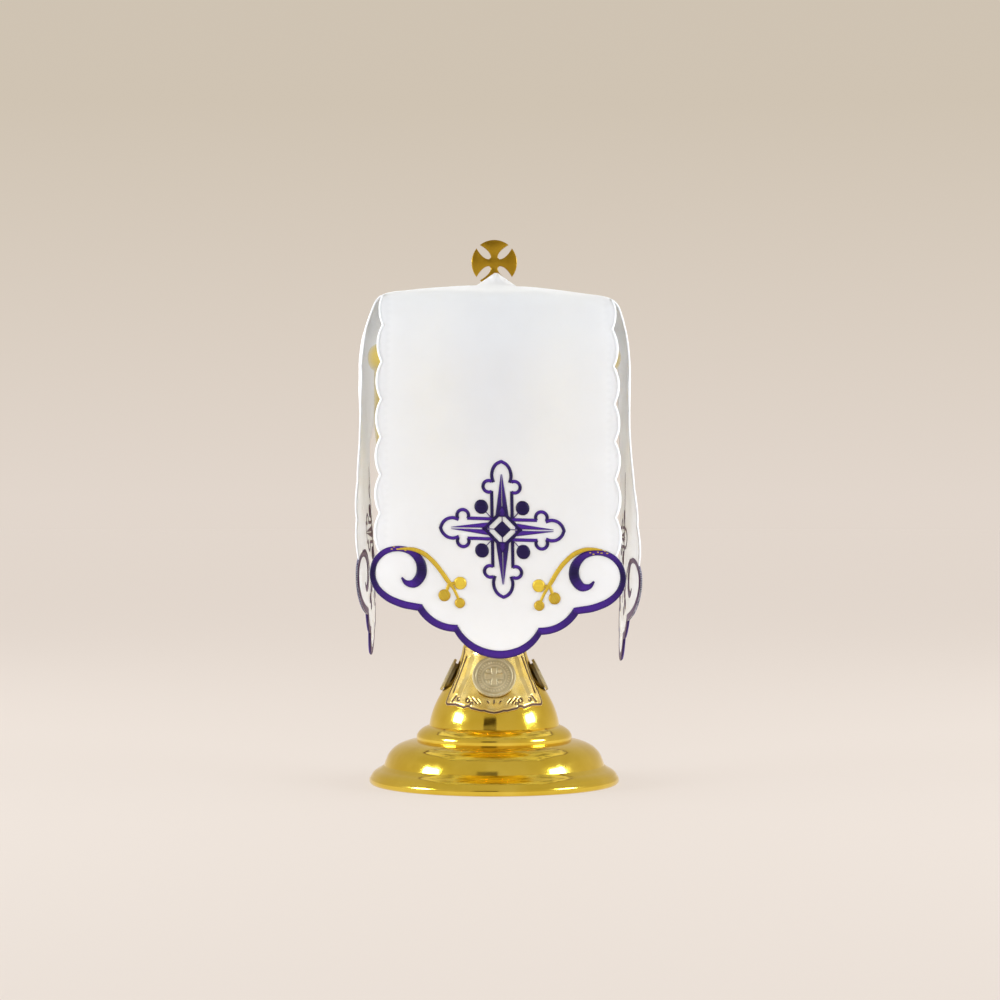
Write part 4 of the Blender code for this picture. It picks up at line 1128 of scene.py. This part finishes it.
def make_medallion(side, finish):
    """A coin-like disc with a reeded rim and a plain relief."""
    degrees, radius, lift = MEDALLIONS[side]
    turns = np.arange(MEDALLION_STEPS) * 2.0 * math.pi / MEDALLION_STEPS
    circle = np.column_stack([np.cos(turns), np.sin(turns)])
    reed = 0.5 + 0.5 * np.cos(turns * REEDS)
    reeded = circle * (radius - REED_DEPTH * reed)[:, None]
    rings = []
    groove = []

    def add_ring(flat, height, cut):
        rings.append(np.column_stack([flat, np.broadcast_to(height, len(turns))]))
        groove.append(cut)

    # The mount under the disc takes the full dark colour: painted shade under the medallion
    for z in (-MEDALLION_MOUNT, 0.0):
        add_ring(circle * radius * MOUNT_SHARE, z, np.ones(len(turns)))
    for z in (0.0, MEDALLION_THICK * 0.35, MEDALLION_THICK * 0.75):
        add_ring(reeded, z, reed)
    for share in np.linspace(1.0, 0.0, MEDALLION_RINGS + 1)[:-1]:
        picture = relief(*(share * circle).T)
        rim = ease((share - REED_START + REED_FADE) / REED_FADE)
        falloff = ease((1.0 - share) / REED_FADE)
        height = MEDALLION_THICK - (FIELD_DEPTH - RELIEF_RISE * picture) * (1.0 - rim)
        height = height - REED_DEPTH * 1.2 * reed * rim - RIM_ROUNDING * (1.0 - falloff)
        cut = np.clip(rim * reed * 0.8 + (1.0 - rim) * (1.0 - picture) * 0.45, 0.0, 1.0)
        add_ring(share * circle * radius * FACE_SHARE, height, cut)
    verts, faces = closed_rings(np.array(rings), (0.0, 0.0, -MEDALLION_MOUNT),
                                (0.0, 0.0, MEDALLION_THICK - 0.24))
    slope = bell_slope()
    turn = math.radians(degrees)
    seat = np.interp(MEDALLION_HEIGHT, BELL_HEIGHT, BELL_RADIUS) + lift * math.cos(slope)
    rise = MEDALLION_HEIGHT + lift * math.sin(slope)
    place = Matrix.Translation((seat * math.sin(turn), -seat * math.cos(turn), rise))
    place = place @ Matrix.Rotation(turn, 4, "Z") @ Matrix.Rotation(math.radians(90.0) - slope, 4, "X")
    spin = np.array(place)
    mesh = mesh_from("struck_medallion_" + side, verts @ spin[:3, :3].T + spin[:3, 3], faces)
    set_values(mesh, "groove", np.concatenate(groove + [np.zeros(2)]))
    return add_piece("struck_medallion_" + side, mesh, [finish], ["medallion_" + side],
                     SMOOTH_DEGREES)


def make_finial(finish):
    """The finial cross with softened edges on its turned neck."""
    rise = math.sqrt(FINIAL_RADIUS ** 2 - FINIAL_RIM_HALF ** 2)
    steps = np.linspace(0.0, 1.0, 16)
    width = FINIAL_WAIST + (FINIAL_RIM_HALF - FINIAL_WAIST) * steps ** FINIAL_FLARE
    edge = np.column_stack([width, FINIAL_FORK + (rise - FINIAL_FORK) * steps])
    spread = math.degrees(math.asin(FINIAL_RIM_HALF / FINIAL_RADIUS))
    rim = arc((0.0, 0.0), FINIAL_RADIUS, 90.0 - spread, 90.0 + spread, 26)[1:-1]
    arm = np.vstack([edge, rim, mirrored(edge)[::-1]])
    outline = np.vstack([turned(arm, degrees) for degrees in QUARTERS])
    bm = bmesh.new()
    front, back = ([bm.verts.new((u, y, v + FINIAL_CENTRE)) for u, v in outline]
                   for y in (-FINIAL_THICK / 2.0, FINIAL_THICK / 2.0))
    bm.faces.new(front)
    bm.faces.new(back[::-1])
    for k in range(len(outline)):
        j = (k + 1) % len(outline)
        bm.faces.new((front[j], front[k], back[k], back[j]))
    bmesh.ops.recalc_face_normals(bm, faces=bm.faces)
    rims = [e for e in bm.edges if len(e.link_faces) == 2 and any(len(f.verts) > 4 for f in e.link_faces)]
    bmesh.ops.bevel(bm, geom=rims, offset=FINIAL_BEVEL, segments=3, profile=0.5, affect="EDGES")
    tip = (NECK_TOP, NECK_RADIUS * 0.8)
    neck = (((NECK_FOOT, 0.0), (NECK_FOOT, 5.0)),
            ((NECK_FOOT, 5.0), (NECK_FOOT + 0.8, 4.6), (NECK_FOOT + 2.0, NECK_RADIUS), tip),
            (tip, (NECK_TOP, 0.0)))
    turned_neck = turned_mesh("neck", neck, 48)
    turned_neck.transform(Matrix.Scale(1.0 / MM, 4))
    bm.from_mesh(turned_neck)
    bpy.data.meshes.remove(turned_neck)
    bmesh.ops.triangulate(bm, faces=[f for f in bm.faces if len(f.verts) > 4])
    bmesh.ops.scale(bm, vec=(MM, MM, MM), verts=bm.verts)
    mesh = bpy.data.meshes.new("cross_finial")
    bm.to_mesh(mesh)
    bm.free()
    return add_piece("cross_finial", mesh, [finish], ["finial"], 35.0)


def make_ciborium(gold, engraved, silver, shaded_finial_gilt):
    """Foot, stem, bowl and lid turned fine, panels, medallions and finial."""
    pieces = {}
    turned_pieces = (
        ("foot", FOOT, TURN_STEPS),
        ("stem", STEM_PROFILE, NARROW_STEPS),
        ("bowl", BOWL, NARROW_STEPS),
        ("lid", LID, NARROW_STEPS),
    )
    for node, stretches, steps in turned_pieces:
        mesh = turned_mesh("turned_" + node, stretches, steps)
        pieces[node] = add_piece("turned_" + node, mesh, [gold], [node], 32.0)
    for side in PANEL_TURNS:
        make_panel(side, engraved)
    for side in MEDALLIONS:
        make_medallion(side, silver)
    make_finial(shaded_finial_gilt)
    return pieces["lid"]


# Materials

def new_finish(name, roughness, metallic=0.0):
    """A material with its node tree and its shader."""
    made = bpy.data.materials.new(name)
    made.use_nodes = True
    tree = made.node_tree
    shader = tree.nodes["Principled BSDF"]
    shader.inputs["Roughness"].default_value = roughness
    shader.inputs["Metallic"].default_value = metallic
    return made, tree, shader


def mix_colours(tree, low, high, factor):
    """A node that mixes two colours; a colour is three numbers or an output."""
    mix = tree.nodes.new("ShaderNodeMix")
    mix.data_type = "RGBA"
    for socket, colour in ((mix.inputs[6], low), (mix.inputs[7], high)):
        if isinstance(colour, tuple):
            socket.default_value = (*colour, 1.0)
        else:
            tree.links.new(colour, socket)
    tree.links.new(factor, mix.inputs[0])
    return mix.outputs[2]


def stored(tree, name):
    """A number stored for each vertex under a name."""
    node = tree.nodes.new("ShaderNodeAttribute")
    node.attribute_name = name
    return node.outputs["Fac"]


def ranged(tree, value, low, high, to_low=0.0, to_high=1.0):
    """Map a number from one range to another."""
    node = tree.nodes.new("ShaderNodeMapRange")
    for i, number in enumerate((low, high, to_low, to_high)):
        node.inputs[i + 1].default_value = number
    tree.links.new(value, node.inputs[0])
    return node.outputs[0]


def mottle(tree, scale, detail=3.0):
    """Soft noise in the object's own space."""
    place = tree.nodes.new("ShaderNodeTexCoord")
    node = tree.nodes.new("ShaderNodeTexNoise")
    node.inputs["Scale"].default_value = scale
    node.inputs["Detail"].default_value = detail
    tree.links.new(place.outputs["Object"], node.inputs["Vector"])
    return node.outputs[0]


def add_bump(tree, shader, height, strength, distance):
    """Bump from a height."""
    node = tree.nodes.new("ShaderNodeBump")
    node.inputs["Strength"].default_value = strength
    node.inputs["Distance"].default_value = distance
    tree.links.new(height, node.inputs["Height"])
    tree.links.new(node.outputs[0], shader.inputs["Normal"])


def make_satin():
    """White silk satin with a fine weave and a greyer, thinner band by its sides."""
    made, tree, shader = new_finish("white_silk_satin", 0.5)
    spread = tree.nodes.new("ShaderNodeUVMap")
    spread.uv_map = "flat_cloth"
    waves = []
    for direction in ("X", "Y"):
        wave = tree.nodes.new("ShaderNodeTexWave")
        wave.bands_direction = direction
        wave.inputs["Scale"].default_value = WEAVE_SCALE
        tree.links.new(spread.outputs[0], wave.inputs["Vector"])
        waves.append(wave.outputs["Fac"])
    both = tree.nodes.new("ShaderNodeMath")
    both.operation = "MAXIMUM"
    for i, wave in enumerate(waves):
        tree.links.new(wave, both.inputs[i])
    add_bump(tree, shader, both.outputs[0], 0.18, 0.00006)
    plain = mix_colours(tree, SATIN_LOW, SATIN_HIGH, ranged(tree, mottle(tree, 26.0), 0.35, 0.65))
    band = ranged(tree, stored(tree, "band"), 0.0, 1.0, 0.0, 0.8)
    tree.links.new(mix_colours(tree, plain, SATIN_BAND, band), shader.inputs["Base Color"])
    shader.inputs["Sheen Weight"].default_value = 0.15
    shader.inputs["Sheen Roughness"].default_value = 0.4
    shader.inputs["Subsurface Weight"].default_value = 1.0
    shader.inputs["Subsurface Radius"].default_value = (1.0, 1.0, 1.0)
    shader.inputs["Subsurface Scale"].default_value = 0.003
    shader.inputs["Specular IOR Level"].default_value = 0.35
    return made


def make_thread(name, dark, bright, roughness, metallic=0.0, painted_edge_shade=0.55):
    """Satin-stitched thread, its colour mixed for each stitch from dark to bright by the painted sheen,
    with painted shade towards the sides of each stitch.
    """
    made, tree, shader = new_finish(name, roughness, metallic)
    colour = mix_colours(tree, dark, bright, stored(tree, "sheen_and_tone"))
    # Painted shade: each stitch darkens towards its sides
    shade = ranged(tree, stored(tree, "edge"), 0.45, 1.0, 0.0, painted_edge_shade)
    tree.links.new(mix_colours(tree, colour, dark, shade), shader.inputs["Base Color"])
    shader.inputs["Specular IOR Level"].default_value = 0.25
    add_bump(tree, shader, mottle(tree, 2600.0, 1.0), 0.12, 0.0001)
    return made


def make_gold(name, low, high, smooth, rough):
    """Gilt metal with faint turning lines."""
    made, tree, shader = new_finish(name, smooth, 1.0)
    colour = mix_colours(tree, low, high, ranged(tree, mottle(tree, 60.0), 0.3, 0.7))
    tree.links.new(colour, shader.inputs["Base Color"])
    rough = ranged(tree, mottle(tree, 220.0), 0.3, 0.7, smooth, rough)
    tree.links.new(rough, shader.inputs["Roughness"])
    place = tree.nodes.new("ShaderNodeTexCoord")
    rings = tree.nodes.new("ShaderNodeTexWave")
    rings.bands_direction = "Z"
    rings.inputs["Scale"].default_value = TURNING_SCALE
    rings.inputs["Distortion"].default_value = 0.6
    tree.links.new(place.outputs["Object"], rings.inputs["Vector"])
    add_bump(tree, shader, rings.outputs["Fac"], 0.08, 0.00004)
    return made


def make_grooved(name, low, high, groove, roughness, texture):
    """Metal whose cut lines, stored for each vertex, are dark."""
    made, tree, shader = new_finish(name, roughness, 1.0)
    colour = mix_colours(tree, low, high, ranged(tree, mottle(tree, 180.0), 0.35, 0.65))
    cut = stored(tree, "groove")
    tree.links.new(mix_colours(tree, colour, groove, cut), shader.inputs["Base Color"])
    tree.links.new(ranged(tree, cut, 0.0, 1.0, 1.0, 0.5), shader.inputs["Metallic"])
    tree.links.new(ranged(tree, cut, 0.0, 1.0, roughness, 0.5), shader.inputs["Roughness"])
    add_bump(tree, shader, mottle(tree, texture, 2.0), 0.15, 0.0001)
    return made


# Floor, light and camera

def make_floor():
    """A wide plain floor."""
    bm = bmesh.new()
    bmesh.ops.create_circle(bm, cap_ends=True, segments=64, radius=FLOOR_RADIUS)
    mesh = bpy.data.meshes.new("studio_floor")
    bm.to_mesh(mesh)
    bm.free()
    finish, _, shader = new_finish("studio_floor", 0.9)
    shader.inputs["Base Color"].default_value = (*FLOOR_COLOUR, 1.0)
    shader.inputs["Specular IOR Level"].default_value = 0.1
    shader.inputs["Emission Color"].default_value = (*FLOOR_GLOW, 1.0)
    shader.inputs["Emission Strength"].default_value = 1.0
    mesh.materials.append(finish)
    floor = bpy.data.objects.new("studio_floor", mesh)
    bpy.context.scene.collection.objects.link(floor)


def make_card():
    """A dark card over the camera that shows only as a reflection in the metal."""
    half, high = CARD_SIZE[0] / 2.0, CARD_SIZE[1] / 2.0
    corners = [(-half, 0.0, -high), (half, 0.0, -high), (half, 0.0, high), (-half, 0.0, high)]
    mesh = bpy.data.meshes.new("dark_card")
    mesh.from_pydata(corners, [], [(0, 1, 2, 3)])
    finish, _, shader = new_finish("dark_card", 0.9)
    shader.inputs["Base Color"].default_value = (*CARD_COLOUR, 1.0)
    mesh.materials.append(finish)
    card = bpy.data.objects.new("dark_card", mesh)
    card.location = CARD_PLACE
    card.visible_camera = False
    card.visible_diffuse = False
    card.visible_shadow = False
    card.visible_transmission = False
    bpy.context.scene.collection.objects.link(card)


def add_light(name, kind, place, target, power, colour, size, shows):
    """A lamp at a place in metres, turned to a target."""
    data = bpy.data.lights.new(name, kind)
    data.energy = power
    data.color = colour
    if kind == "AREA":
        data.shape = "RECTANGLE"
        data.size, data.size_y = size
    else:
        data.angle = math.radians(size)
    lamp = bpy.data.objects.new(name, data)
    lamp.visible_glossy = shows
    lamp.location = place
    way = Vector(target) - Vector(place)
    lamp.rotation_euler = way.to_track_quat("-Z", "Y").to_euler()
    bpy.context.scene.collection.objects.link(lamp)


def make_studio():
    """Pale surroundings and soft lamps."""
    world = bpy.data.worlds.new("studio")
    world.use_nodes = True
    tree = world.node_tree
    sky = tree.nodes["Background"]
    sky.inputs["Strength"].default_value = WORLD_STRENGTH
    place = tree.nodes.new("ShaderNodeTexCoord")
    parts = tree.nodes.new("ShaderNodeSeparateXYZ")
    tree.links.new(place.outputs["Generated"], parts.inputs[0])
    near = mix_colours(tree, WORLD_LOW, WORLD_MIDDLE, ranged(tree, parts.outputs[2], 0.0, 0.15))
    far = mix_colours(tree, near, WORLD_HIGH, ranged(tree, parts.outputs[2], 0.15, 0.7))
    tree.links.new(far, sky.inputs["Color"])
    bpy.context.scene.world = world
    bpy.context.scene.view_settings.view_transform = "Standard"
    for row in LAMPS:
        add_light(*row)


def make_camera():
    """The camera of the photograph."""
    data = bpy.data.cameras.new("camera")
    data.lens = LENS
    data.sensor_width = 36.0
    data.clip_end = 20.0
    camera = bpy.data.objects.new("camera", data)
    camera.location = CAMERA_PLACE
    camera.rotation_euler = (math.radians(90.0), 0.0, 0.0)
    bpy.context.scene.collection.objects.link(camera)
    bpy.context.scene.camera = camera


def main():
    """Build every piece, the floor, the light and the camera."""
    satin = make_satin()
    purple = make_thread("purple_silk_thread", PURPLE_DARK, PURPLE_SHEEN, 0.42)
    gold_thread = make_thread("gold_thread_satin", GOLD_DARK, GOLD_SHEEN, 0.36, 0.25)
    under_purple = make_thread("purple_underside", UNDER_DARK, UNDER_BRIGHT, 0.6)
    white = make_thread("white_edging_thread", EDGING_DARK, EDGING_BRIGHT, 0.5, 0.0, 0.2)
    gilt = make_gold("polished_gilt", GILT_LOW, GILT_HIGH, 0.08, 0.17)
    # Gilt for the finial, darkened as painted shade
    shaded_finial_gilt = make_gold("brushed_shaded_gilt", FINIAL_SHADED_LOW, FINIAL_SHADED_HIGH, 0.3, 0.42)
    engraved = make_grooved("engraved_gilt", ENGRAVED_LOW, ENGRAVED_HIGH, GROOVE_COLOUR, 0.26, 900.0)
    silver = make_grooved("struck_silver", SILVER_LOW, SILVER_HIGH, TARNISH_AND_SHADE, 0.4, 1500.0)

    cloth, area = make_cloth(satin)
    for flap in FLAPS:
        make_border(flap, purple, under_purple)
        make_cross(flap, purple, under_purple)
        for side in ("left", "right"):
            make_sprig(flap, side, gold_thread, under_purple)
        make_edging(flap, white)
    lid = make_ciborium(gilt, engraved, silver, shaded_finial_gilt)
    side = 2.0 * FLAP_LENGTH * MM
    make_floor()
    make_card()
    make_studio()
    make_camera()


main()
